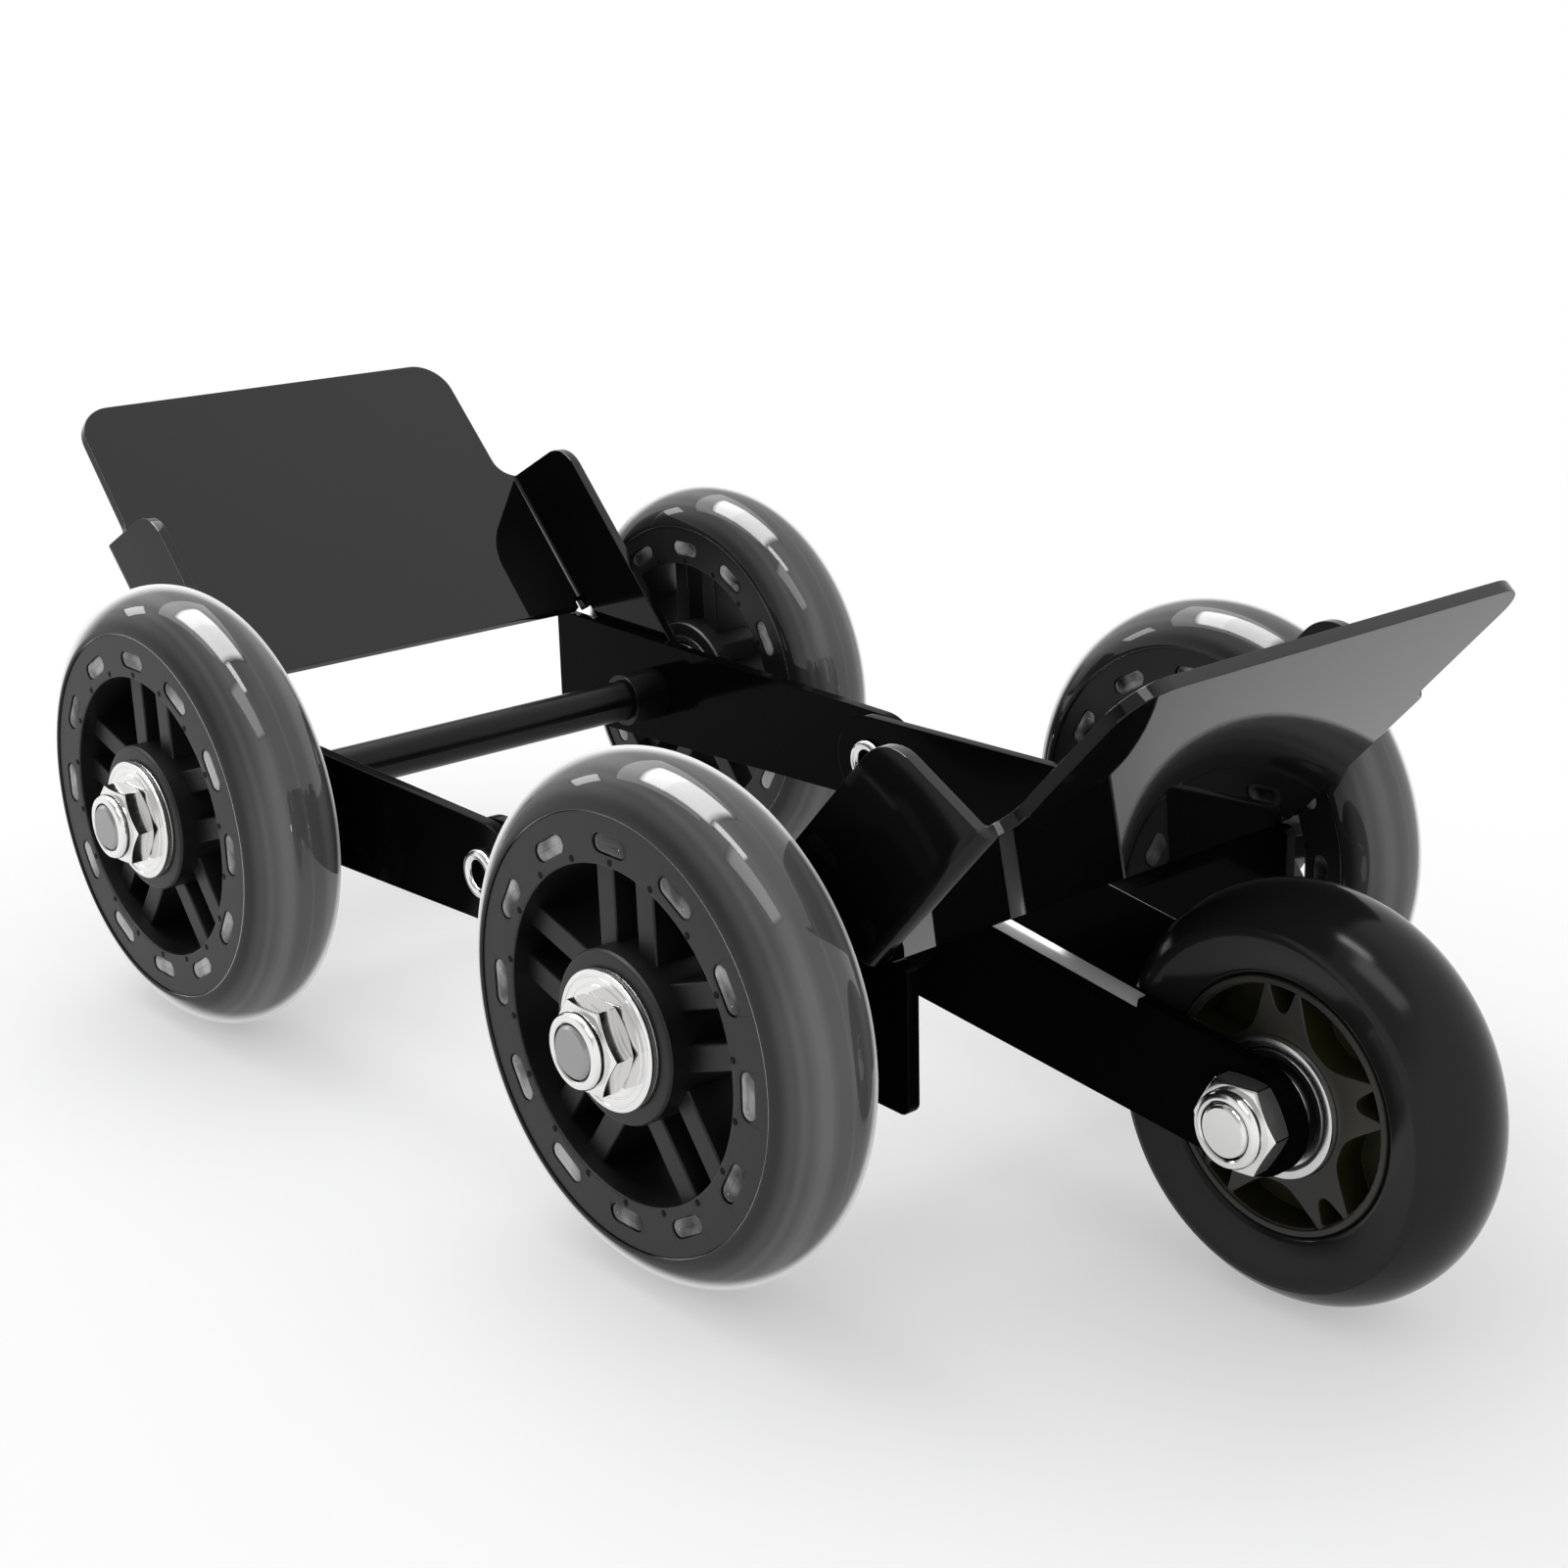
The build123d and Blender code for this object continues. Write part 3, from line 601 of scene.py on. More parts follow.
class Bench:
    """Hand tools: primitives, edit-mode operators and applied modifiers."""

    @staticmethod
    def clear() -> None:
        """Deselect every object."""
        bpy.ops.object.select_all(action="DESELECT")

    @staticmethod
    def only(piece: Piece) -> None:
        """Select one piece alone and make it the active one.

        Args:
            piece: The piece.
        """
        Bench.clear()
        piece.select_set(True)
        bpy.context.view_layer.objects.active = piece

    @staticmethod
    @contextmanager
    def editing(piece: Piece, mode: str = "VERT") -> Iterator[None]:
        """Work on a piece in edit mode.

        Args:
            piece: The piece to edit.
            mode: What is selected there: VERT, EDGE or FACE.

        Returns:
            A context in which edit-mode operators act on the piece.
        """
        Bench.only(piece)
        bpy.context.tool_settings.mesh_select_mode = [mode == kind for kind in ("VERT", "EDGE", "FACE")]
        bpy.ops.object.mode_set(mode="EDIT")
        try:
            yield
        finally:
            bpy.ops.object.mode_set(mode="OBJECT")

    @staticmethod
    def pick(piece: Piece, faces: FaceTest | None = None, edges: EdgeTest | None = None) -> None:
        """Select faces or edges of a piece by a test, and nothing else.

        Args:
            piece: The piece, in object mode.
            faces: Test of a face.
            edges: Test of an edge by its two ends.
        """
        mesh = piece.data
        for group in (mesh.vertices, mesh.edges, mesh.polygons):
            group.foreach_set("select", [False] * len(group))
        for face in mesh.polygons:
            face.select = bool(faces and faces(face))
        for edge in mesh.edges:
            start, end = (mesh.vertices[index].co for index in edge.vertices)
            if edges and edges(start, end):
                edge.select = True

    @staticmethod
    def settle(piece: Piece) -> None:
        """Put a piece's place into its mesh and leave its object at the origin."""
        Bench.only(piece)
        bpy.ops.object.transform_apply(location=True, rotation=True, scale=True)

    @staticmethod
    def added(name: str) -> Piece:
        """Name the primitive that was added last and settle it.

        Args:
            name: Name of the piece.

        Returns:
            The piece.
        """
        piece = bpy.context.object
        piece.name = name
        Bench.settle(piece)
        return piece

    @staticmethod
    def wire(name: str, points: Sequence[Vector]) -> Piece:
        """Draw a line from point to point, as an outline to spin or raise.

        Args:
            name: Name of the piece.
            points: The line's points in metres.

        Returns:
            The line.
        """
        Bench.clear()
        bpy.ops.mesh.primitive_plane_add(size=MM, location=points[0])
        piece = Bench.added(name)
        with Bench.editing(piece):
            bpy.ops.mesh.select_all(action="SELECT")
            bpy.ops.mesh.merge(type="CENTER")
            for start, end in zip(points, points[1:]):
                bpy.ops.mesh.extrude_vertices_move(TRANSFORM_OT_translate={"value": end - start})
        return piece

    @staticmethod
    def lathe(name: str, outline: Outline, centre: Vector, outwards: int = 1, steps: int = 96) -> Piece:
        """Turn an outline about a line across the dolly.

        Args:
            name: Name of the piece.
            outline: Points as radius and distance outwards along the axle from the centre.
            centre: Point on the axle.
            outwards: 1 where outwards is +Y and -1 where it is -Y.
            steps: Number of steps round the axle.

        Returns:
            The turned piece.
        """
        piece = Bench.wire(name, [centre + Vector((r, outwards * y, 0)) * MM for r, y in outline])
        with Bench.editing(piece):
            bpy.ops.mesh.select_all(action="SELECT")
            bpy.ops.mesh.spin(steps=steps, angle=2 * math.pi, center=centre, axis=(0, 1, 0))
            bpy.ops.mesh.select_all(action="SELECT")
            bpy.ops.mesh.remove_doubles(threshold=0.001 * MM)
            bpy.ops.mesh.normals_make_consistent(inside=False)
        return piece

    @staticmethod
    def prism(name: str, outline: Outline, centre: Vector, ends: Span) -> Piece:
        """Raise an outline drawn in X and Z along the axle.

        Args:
            name: Name of the piece.
            outline: Corners as X and Z from the centre.
            centre: Point on the axle.
            ends: Y of its two faces from the centre.

        Returns:
            The prism.
        """
        start, end = ends
        piece = Bench.wire(name, [centre + Vector((x, start, z)) * MM for x, z in outline])
        with Bench.editing(piece):
            bpy.ops.mesh.select_all(action="SELECT")
            bpy.ops.mesh.edge_face_add()
            bpy.ops.mesh.extrude_region_move(TRANSFORM_OT_translate={"value": (0, (end - start) * MM, 0)})
            bpy.ops.mesh.select_all(action="SELECT")
            bpy.ops.mesh.normals_make_consistent(inside=False)
        return piece

    @staticmethod
    def bar(name: str, size: Place, middle: Vector, axis: int | None, rounding: float,
            segments: int) -> Piece:
        """Bar with rounded edges.

        Args:
            name: Name of the piece.
            size: Its lengths along X, Y and Z.
            middle: Its middle in metres.
            axis: Number of the axis along which its edges are rounded, or None where all of them are.
            rounding: Width of the rounding.
            segments: Number of facets in the rounding.

        Returns:
            The bar.
        """
        Bench.clear()
        bpy.ops.mesh.primitive_cube_add(size=MM, scale=size, location=middle)
        piece = Bench.added(name)
        Bench.pick(piece, edges=lambda start, end: (
            axis is None or abs(start[axis] - end[axis]) > size[axis] / 2 * MM))
        with Bench.editing(piece, "EDGE"):
            bpy.ops.mesh.bevel(offset=rounding * MM, segments=segments, affect="EDGES")
        return piece

    @staticmethod
    def combine(piece: Piece, other: Piece, operation: str) -> None:
        """Unite a piece with another, cut the other out or keep what both share; the other is thrown away."""
        Bench.modify(piece, "BOOLEAN", operation=operation, solver="EXACT", object=other)
        bpy.data.objects.remove(other)

    @staticmethod
    def modify(piece: Piece, kind: str, **settings: object) -> None:
        """Add one modifier to a piece and apply it.

        Args:
            piece: The piece.
            kind: The modifier's type.
            settings: Its properties.
        """
        Bench.only(piece)
        modifier = piece.modifiers.new(kind.lower(), kind)
        for key, value in settings.items():
            setattr(modifier, key, value)
        bpy.ops.object.modifier_apply(modifier=modifier.name)

    @staticmethod
    def round_edges(piece: Piece, width: float, segments: int = 2, angle: float = 32.0) -> None:
        """Round every edge that is sharper than an angle in degrees."""
        Bench.modify(piece, "BEVEL", width=width * MM, segments=segments, limit_method="ANGLE",
                     angle_limit=math.radians(angle), use_clamp_overlap=False)

    @staticmethod
    def smooth(piece: Piece, angle: float = 34.0, flat_faces: bool = False) -> None:
        """Shade a piece smooth.

        Args:
            piece: The piece.
            angle: Creases sharper than so many degrees stay.
            flat_faces: Whether large flat faces are kept flat up to their rounded edges.
        """
        Bench.only(piece)
        bpy.ops.object.shade_smooth_by_angle(angle=math.radians(angle))
        if flat_faces:
            Bench.modify(piece, "WEIGHTED_NORMAL", keep_sharp=True)

    @staticmethod
    def copy_of(original: Piece, name: str) -> Piece:
        """Copy a piece with its own mesh.

        Args:
            original: The piece or CAD node that is copied.
            name: Name of the copy.

        Returns:
            The copy.
        """
        piece = bpy.data.objects.new(name, original.data.copy())
        bpy.context.scene.collection.objects.link(piece)
        return piece

    @staticmethod
    def weld(piece: Piece, gap: float, flat: float = 0.6) -> None:
        """Merge the points of a piece that are closer than a gap and make its flat faces whole.

        Args:
            piece: The piece.
            gap: The gap.
            flat: Faces that meet at less than so many degrees become one.
        """
        with Bench.editing(piece):
            bpy.ops.mesh.select_all(action="SELECT")
            bpy.ops.mesh.remove_doubles(threshold=gap * MM)
            bpy.ops.mesh.dissolve_degenerate(threshold=gap * MM)
            bpy.ops.mesh.dissolve_limited(angle_limit=math.radians(flat))

    @staticmethod
    def hexagon(name: str, flats: float, bore: float, length: float, seat: Vector, outwards: int,
                chamfer: float = 1.0) -> Piece:
        """Hexagon with turned corners and broken edges, as on a nut or a bolt head.

        Args:
            name: Name of the piece.
            flats: Width across its flats.
            bore: Radius of its hole, or 0.
            length: Length along its axle.
            seat: Middle of the face that it sits on.
            outwards: Sign of Y in which it stands up from its seat.
            chamfer: How far the turned cone comes down its corners.

        Returns:
            The hexagon.
        """
        corner = flats / math.sqrt(3)
        Bench.clear()
        bpy.ops.mesh.primitive_cylinder_add(
            vertices=6, radius=corner * MM, depth=length * MM, rotation=(math.pi / 2, math.pi / 6, 0),
            location=seat + Vector((0, outwards * length / 2, 0)) * MM)
        piece = Bench.added(name)
        face = flats / 2 * 0.97
        wide = corner * 1.08
        cone = [(bore, 0), (face, 0), (wide, chamfer), (wide, length - chamfer), (face, length),
                (bore, length), (bore, 0)]
        Bench.combine(piece, Bench.lathe(f"{name}_blank", cone, seat, outwards), "INTERSECT")
        Bench.weld(piece, 0.02)
        Bench.round_edges(piece, 0.22)
        return piece

    @staticmethod
    def join(name: str, pieces: Sequence[Piece]) -> Piece:
        """Make one piece of several.

        Args:
            name: Name of the whole.
            pieces: The pieces.

        Returns:
            The whole.
        """
        Bench.only(pieces[0])
        for piece in pieces:
            piece.select_set(True)
        bpy.ops.object.join()
        pieces[0].name = name
        return pieces[0]

    @staticmethod
    def around(piece: Piece, centre: Vector, count: int, phase: float = 0.0) -> list[Piece]:
        """Copy a piece round a line across the dolly, in equal steps.

        Args:
            piece: The piece that is copied; it is removed afterwards.
            centre: A point on the line.
            count: Number of copies in the full circle.
            phase: Degrees at which the first copy sits.

        Returns:
            The copies.
        """
        there, back = Matrix.Translation(centre), Matrix.Translation(-centre)
        copies = []
        for step in range(count):
            angle = math.radians(phase + 360 / count * step)
            copy = Bench.copy_of(piece, piece.name)
            copy.matrix_world = there @ Matrix.Rotation(-angle, 4, "Y") @ back
            Bench.settle(copy)
            copies.append(copy)
        bpy.data.objects.remove(piece)
        return copies


@dataclass
class Workshop:
    """The loaded frame and the finishes that its pieces share."""

    nodes: Mapping[str, Piece]
    coats: dict[Coat, Material] = field(init=False)

    def __post_init__(self) -> None:
        """Mix every shared finish."""
        self.coats = {coat: coat.value.make() for coat in Coat}

    @staticmethod
    def middle(node: str) -> Vector:
        """Middle of a CAD node's box at rest."""
        low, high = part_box(node)
        return (low + high) / 2

    def paint_over(self, piece: Piece, finish: Coat | Material) -> None:
        """Give a piece one finish all over."""
        piece.data.materials.clear()
        piece.data.materials.append(self.coats[finish] if isinstance(finish, Coat) else finish)

    def second_coat(self, piece: Piece, coat: Coat, chosen: FaceTest) -> None:
        """Give some faces of a piece another finish.

        Args:
            piece: The piece, which has its first finish.
            coat: The second finish.
            chosen: Test of the faces that take it.
        """
        piece.data.materials.append(self.coats[coat])
        last = len(piece.data.materials) - 1
        for face in piece.data.polygons:
            if chosen(face):
                face.material_index = last

    def mount(self, piece: Piece, body: str, slot: Slot, finish: Coat | Material) -> None:
        """Dress a piece, let it ride on a body and report it.

        Args:
            piece: The new piece.
            body: The CAD body.
            slot: The record's material slot; not used.
            finish: Its finish.
        """
        self.paint_over(piece, finish)
        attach(piece, body)
        LOG.info("%s rides on %s, %d faces", piece.name, body, len(piece.data.polygons))

    def stand_for(self, piece: Piece, node: str, slot: Slot, finish: Coat | Material) -> None:
        """Dress a piece and put it in a CAD node's place, on the node's body."""
        self.mount(piece, self.nodes[node]["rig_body"], slot, finish)
        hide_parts(node)

    def edged(self, node: str, slot: Slot, coat: Coat, width: float, bent: bool = False) -> Piece:
        """Show a CAD node with its edges broken.

        Args:
            node: The CAD node.
            slot: The record's material slot.
            coat: Its finish.
            width: Width of the broken edges.
            bent: Whether it is bent sheet, whose tight bends keep their own small facets.

        Returns:
            The piece that stands for the node.
        """
        gap, crease = (0.06, 70.0) if bent else (0.001, 32.0)
        piece = Bench.copy_of(self.nodes[node], f"{node}_edged")
        with Bench.editing(piece):
            bpy.ops.mesh.customdata_custom_splitnormals_clear()
        Bench.weld(piece, gap)
        Bench.round_edges(piece, width, angle=crease)
        Bench.smooth(piece, flat_faces=True)
        self.stand_for(piece, node, slot, coat)
        return piece

    def keep(self, node: str, coat: Coat) -> None:
        """Leave a CAD node showing, with a better finish."""
        self.paint_over(self.nodes[node], coat)
        LOG.info("%s stays as drawn", node)


@dataclass
class Fasteners:
    """Nuts, washers, bolt and hinge pins."""

    shop: Workshop
    rod_r: float = 5.0
    bore_r: float = 5.05
    washer_r: float = 13.2
    washer_t: float = 1.4
    nut_flats: float = 16.0
    nut_hex: float = 5.0
    nut_flat_area: float = 8.0
    collar_r: float = 7.2
    collar_t: float = 2.2
    collar_bore: float = 5.25
    collar_root: float = 0.4
    bolt_head: float = 6.4
    bolt_root: float = 0.3
    pin_r: float = 4.0
    pin_head_r: float = 5.4
    pin_head_t: float = 1.9
    pin_tail_t: float = 1.3
    pin_well: float = 2.6
    pin_well_r: float = 3.0

    def build(self) -> None:
        """Make every fastener of the dolly."""
        for half in Half:
            for side in Side:
                self.build_washer(f"{half.value}_washer_{side.word}", side)
                self.build_nut(f"{half.value}_nut_{side.word}", side)
        nut = self.build_nut("nose_nut", Side.NEAR)
        # The nose nut's flats take the darker plating as painted shade.
        self.shop.second_coat(nut, Coat.BRUSHED, self.is_flat)
        self.build_bolt("nose_bolt")
        for side in Side:
            self.build_pin(f"hinge_pin_{side.word}", side)

    def is_flat(self, face: Face) -> bool:
        """Whether a face is one of a nut's six flats."""
        return abs(face.normal.y) < 0.2 and face.area > self.nut_flat_area * MM * MM

    @staticmethod
    def seat_of(node: str, side: Side) -> Vector:
        """Middle of the face of a node that looks towards the dolly's middle plane.

        Args:
            node: The CAD node.
            side: The side of the dolly that it is on.

        Returns:
            The point.
        """
        low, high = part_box(node)
        seat = (low + high) / 2
        seat.y = high.y if side is Side.NEAR else low.y
        return seat

    def build_washer(self, node: str, side: Side) -> None:
        """Plated washer with two pressed rings near its edge.

        Args:
            node: The CAD node that it replaces.
            side: The end of the axle.
        """
        r, t, bore = self.washer_r, self.washer_t, self.bore_r
        outline = [(bore, 0), (r - 0.25, 0), (r, 0.3), (r, t - 0.35), (r - 0.1, t - 0.12), (r - 0.35, t),
                   (r - 0.95, t), (r - 1.1, t - 0.22), (r - 1.35, t - 0.22), (r - 1.5, t), (r - 2.5, t),
                   (r - 2.65, t - 0.16), (r - 2.85, t - 0.16), (r - 3.0, t), (bore, t), (bore, 0)]
        piece = Bench.lathe(f"{node}_pressed", outline, self.seat_of(node, side), side.value)
        Bench.smooth(piece, 28)
        self.shop.stand_for(piece, node, Slot.CHROME, Coat.CHROME)

    def build_nut(self, node: str, side: Side) -> Piece:
        """Lock nut: a hexagon with turned corners and a rolled collar.

        Args:
            node: The CAD node that it replaces.
            side: The end of the axle.

        Returns:
            The nut.
        """
        seat = self.seat_of(node, side)
        nut = Bench.hexagon(f"{node}_hex", self.nut_flats, self.bore_r, self.nut_hex, seat, side.value)
        h, r, t, bore = self.nut_hex, self.collar_r, self.collar_t, self.collar_bore
        root = h - self.collar_root
        roll = [(bore, root), (r, root), (r, h + 0.45 * t), (r - 0.12, h + 0.68 * t),
                (r - 0.42, h + 0.87 * t), (r - 0.9, h + 0.97 * t), (r - 1.3, h + t), (bore + 0.35, h + t),
                (bore + 0.1, h + 0.9 * t), (bore, h + 0.7 * t), (bore, root)]
        Bench.combine(nut, Bench.lathe(f"{node}_roll", roll, seat, side.value, 64), "UNION")
        Bench.weld(nut, 0.01)
        nut.name = f"{node}_locking"
        Bench.smooth(nut, 28, flat_faces=True)
        self.shop.stand_for(nut, node, Slot.CHROME, Coat.CHROME)
        return nut

    def build_bolt(self, node: str) -> None:
        """Nose wheel bolt: hexagon head on the far side, shank with a rounded point.

        Args:
            node: The CAD node that it replaces.
        """
        low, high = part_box(node)
        seat = (low + high) / 2
        seat.y = high.y - self.bolt_head * MM
        bolt = Bench.hexagon(f"{node}_head", self.nut_flats, 0.0, self.bolt_head, seat, 1, chamfer=0.9)
        r, root, tip = self.rod_r, self.bolt_root, (low.y - seat.y) / MM
        shank = [(0, root), (r, root), (r, tip + 0.7), (r - 0.25, tip + 0.25), (r - 0.7, tip), (0, tip)]
        Bench.combine(bolt, Bench.lathe(f"{node}_shank", shank, seat, 1, 64), "UNION")
        bolt.name = f"{node}_turned"
        Bench.smooth(bolt, 28, flat_faces=True)
        self.shop.stand_for(bolt, node, Slot.CHROME, Coat.CHROME)

    def build_pin(self, node: str, side: Side) -> None:
        """Hollow hinge rivet with a rolled lip at both ends.

        Args:
            node: The CAD node that it replaces.
            side: The near or the far pin.
        """
        low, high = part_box(node)
        long = (high.y - low.y) / MM
        r, lip, tail, head = self.pin_r, self.pin_head_r, self.pin_tail_t, long - self.pin_head_t
        deep, well = self.pin_well, self.pin_well_r
        outline = [(0, deep), (well, deep), (well, 0.9), (well + 0.2, 0.35), (well + 0.6, 0.05),
                   (lip - 1.0, 0.0), (lip - 0.5, 0.12), (lip - 0.1, 0.5), (lip, 0.9), (lip, tail), (r, tail),
                   (r, head), (lip, head), (lip, long - 1.0), (lip - 0.12, long - 0.5),
                   (lip - 0.5, long - 0.14), (lip - 1.0, long), (well + 0.6, long - 0.05),
                   (well + 0.2, long - 0.35), (well, long - 0.9), (well, long - deep), (0, long - deep)]
        pin = Bench.lathe(f"{node}_rolled", outline, self.seat_of(node, side), side.value, 64)
        Bench.smooth(pin, 40)
        self.shop.stand_for(pin, node, Slot.CHROME, Coat.CHROME)
        middle = self.shop.middle(node)

        def bored(face: Face) -> bool:
            """Whether a face lies inside one of the two wells."""
            away = (face.center - middle) / MM
            return math.hypot(away.x, away.z) < well + 0.1 and abs(away.y) < long / 2 - 0.8

        # Painted shade: the wells of the hollow rivet take the dark mould mark finish, which darkens them as
        # shade would.
        self.shop.second_coat(pin, Coat.MOULD_MARK, bored)


@dataclass
class FrameHalves:
    """Arms, axles and the short tubes, bushes and pads on them."""

    shop: Workshop
    arm_edge: float = 0.35
    tube_edge: float = 0.25

    def build(self) -> None:
        """Dress both halves."""
        for half in Half:
            self.shop.keep(f"{half.value}_axle", Coat.ROD)
            for side in Side:
                self.shop.edged(f"{half.value}_arm_{side.word}", Slot.PAINT, Coat.FRAME, self.arm_edge)
                self.shop.edged(f"{half.value}_bush_{side.word}", Slot.STEEL, Coat.BAR, self.tube_edge)
        for stem in ("left_collar", "right_tube", "right_pad", "nose_spacer"):
            for side in Side:
                self.shop.edged(f"{stem}_{side.word}", Slot.STEEL, Coat.BAR, self.tube_edge)


@dataclass
class CradlePlates:
    """The two bent plates that the parked tyre rests on, and the fork of the nose wheel.

    Faces are told apart by the parts of their normals: an ear looks across the dolly, a plate's back looks
    down, and the fork's two long bends look up and across. Ears and backs take less glossy copies of the
    plate's enamel as painted shade, and the bends a pale grey one as painted highlight.
    """

    shop: Workshop
    edge: float = 0.25
    ear_across: float = 0.9
    back_up: float = -0.3
    bend_up: float = 0.2
    bend_across: Span = (0.3, 0.9)
    bend_area: float = 15.0

    def build(self) -> None:
        """Dress both plates and the fork."""
        for half in Half:
            plate = self.shop.edged(f"{half.value}_cradle", Slot.PAINT, Coat.PLATE, self.edge, bent=True)
            # Painted shade: the ears and the back of each plate take less glossy copies of its enamel.
            self.shop.second_coat(plate, Coat.EAR, lambda face: abs(face.normal.y) > self.ear_across)
            self.shop.second_coat(plate, Coat.PLATE_BACK, lambda face: face.normal.z < self.back_up)
        fork = self.shop.edged("nose_fork", Slot.PAINT, Coat.FORK, self.edge, bent=True)
        # The fork's long bends take pale grey paint as a painted highlight.
        self.shop.second_coat(fork, Coat.FORK_BEND, self.is_bend)

    def is_bend(self, face: Face) -> bool:
        """Whether a face of the fork belongs to one of its long bends.

        Args:
            face: The face.

        Returns:
            True on a bend.
        """
        low, high = self.bend_across
        turned = face.normal.z > self.bend_up and low < abs(face.normal.y) < high
        return turned and face.area > self.bend_area * MM * MM


@dataclass
class Bearings:
    """Shielded ball bearings of one wheel."""

    shop: Workshop
    wheel: str
    outer_r: float = 13.0
    bore_r: float = 5.05
    width: float = 8.0
    shield: Span = (7.6, 11.4)
    shield_depth: float = 0.5
    lip: Span = (9.6, 10.8)

    def build(self) -> None:
        """Make both bearings and dress the sleeve between them."""
        sleeve = f"sleeve_{self.wheel}"
        races = TurnedSteel(f"bearing_races_{self.wheel}", self.shield, self.lip)
        steel = races.make(self.shop.middle(sleeve))
        for end in "ab":
            node = f"bearing_{end}_{self.wheel}"
            piece = Bench.lathe(f"{node}_shielded", self.outline(), self.shop.middle(node))
            Bench.smooth(piece, 30)
            self.shop.stand_for(piece, node, Slot.BEARING, steel)
        self.shop.keep(sleeve, Coat.BAR)

    def outline(self) -> Outline:
        """Section of the bearing, closed, with a raised lip on each shield.

        Returns:
            Points as radius and distance along the axle.
        """
        h, bore, rim = self.width / 2, self.bore_r, self.outer_r
        inner, outer = self.shield
        low, high = self.lip
        sunk = h - self.shield_depth
        return both_faces([
            (bore, h - 0.3), (bore + 0.3, h), (inner - 0.12, h), (inner, h - 0.15), (inner, sunk),
            (low - 0.2, sunk + 0.05), (low + 0.05, h - 0.1), (high - 0.15, h - 0.1), (high + 0.05, sunk),
            (outer, sunk), (outer, h - 0.15), (outer + 0.12, h), (rim - 0.5, h), (rim - 0.12, h - 0.15),
            (rim, h - 0.5)])


@dataclass
class RoadWheel:
    """Large wheel: smoke-grey tyre, moulded hub with urethane in its slots that is paled by painted light,
    bearings.
    """

    shop: Workshop
    half: Half
    side: Side
    radius: float = 49.98
    tread: float = 8.98
    bead_half: float = 11.6
    bead_rise: float = 0.45
    hub_half: float = 11.1
    flange: float = 2.4
    channel_r: float = 33.42
    fit: float = 0.02
    slot_count: int = 12
    slot_length: float = 9.5
    slot_width: float = 4.0
    slot_inset: float = 5.5
    slot_fit: float = 0.06
    barrel_r: float = 31.4
    boss_r: float = 16.3
    boss_half: float = 12.3
    seat_r: float = 13.02
    spoke_half: float = 7.8
    spoke_width: float = 5.0
    spoke_gap: float = 6.0
    spoke_pairs: int = 5
    spoke_phase: float = 19.0
    spoke_roots: Span = (2.0, 1.0)
    mark_count: int = 18
    mark_r: float = 32.5

    @property
    def name(self) -> str:
        """The wheel's name as the CAD nodes spell it."""
        return f"{self.half.value}_{self.side.word}"

    @property
    def centre(self) -> Vector:
        """Middle of the hub."""
        return self.shop.middle(f"hub_{self.name}")

    @property
    def rim_r(self) -> float:
        """Radius on which the tyre stands."""
        return self.radius - self.tread

    @property
    def slot_r(self) -> float:
        """Radius of the ring of slots."""
        return self.rim_r - self.slot_inset

    def build(self) -> None:
        """Make the whole wheel."""
        self.build_tyre(f"tyre_{self.name}")
        self.build_hub(f"hub_{self.name}")
        self.build_slots()
        self.build_marks()
        Bearings(self.shop, self.name).build()

    def tyre_outline(self) -> Outline:
        """Closed section of the tyre: round crown, rolled beads and the key in the hub's channel.

        Returns:
            Points as radius and distance along the axle.
        """
        rim = self.rim_r + self.fit
        top = crown(self.radius, self.bead_half, self.radius - rim, rim + self.bead_rise, 40)
        key = self.hub_half - self.flange - self.fit
        lip = top[0][1]
        foot = [(rim + 0.14, -lip + 0.06), (rim, -lip + 0.2), (rim, -key), (self.channel_r, -key)]
        return top + foot + [(r, -y) for r, y in reversed(foot)] + top[:1]

    def build_tyre(self, node: str) -> None:
        """Pour the tyre.

        Args:
            node: The CAD node that it replaces.
        """
        centre = self.shop.middle(node)
        tyre = Bench.lathe(f"{node}_poured", self.tyre_outline(), centre, steps=160)
        Bench.smooth(tyre, 40)
        smoke = SmokeUrethane(f"smoke_tyre_{self.name}", self.rim_r + 1.0, self.radius - 1.0).make(centre)
        self.shop.stand_for(tyre, node, Slot.URETHANE, smoke)

    def build_hub(self, node: str) -> None:
        """Mould the hub: slotted rim, boss and pairs of spokes.

        Args:
            node: The CAD node that it replaces.
        """
        hub = self.build_rim()
        boss = Bench.lathe("boss", self.boss_outline(), self.centre)
        spokes = Bench.around(self.build_spoke_pair(), self.centre, self.spoke_pairs, self.spoke_phase)
        Bench.combine(boss, Bench.join("spokes", spokes), "UNION")
        Bench.combine(hub, boss, "UNION")
        hub.name = f"{node}_moulded"
        Bench.smooth(hub, 30, flat_faces=True)
        self.shop.stand_for(hub, node, Slot.HUB, Coat.HUB)

    def build_rim(self) -> Piece:
        """Channel that holds the tyre, with its slots cut through both flanges.

        Returns:
            The rim.
        """
        inner, outer, floor = self.barrel_r, self.rim_r, self.channel_r - self.fit
        h, key = self.hub_half, self.hub_half - self.flange
        face = [(inner, h - 0.55), (inner + 0.16, h - 0.16), (inner + 0.55, h), (outer - 0.4, h),
                (outer - 0.1, h - 0.1), (outer, h - 0.4), (outer, key), (floor, key)]
        rim = Bench.lathe("rim", both_faces(face), self.centre, steps=144)
        cutter = self.build_capsule("slot_cutter", 0.0, (-h - 1, h + 1), axis=None)
        cutters = Bench.around(cutter, self.centre, self.slot_count)
        Bench.combine(rim, Bench.join("slot_cutters", cutters), "DIFFERENCE")
        Bench.round_edges(rim, 0.25, angle=60)
        return rim

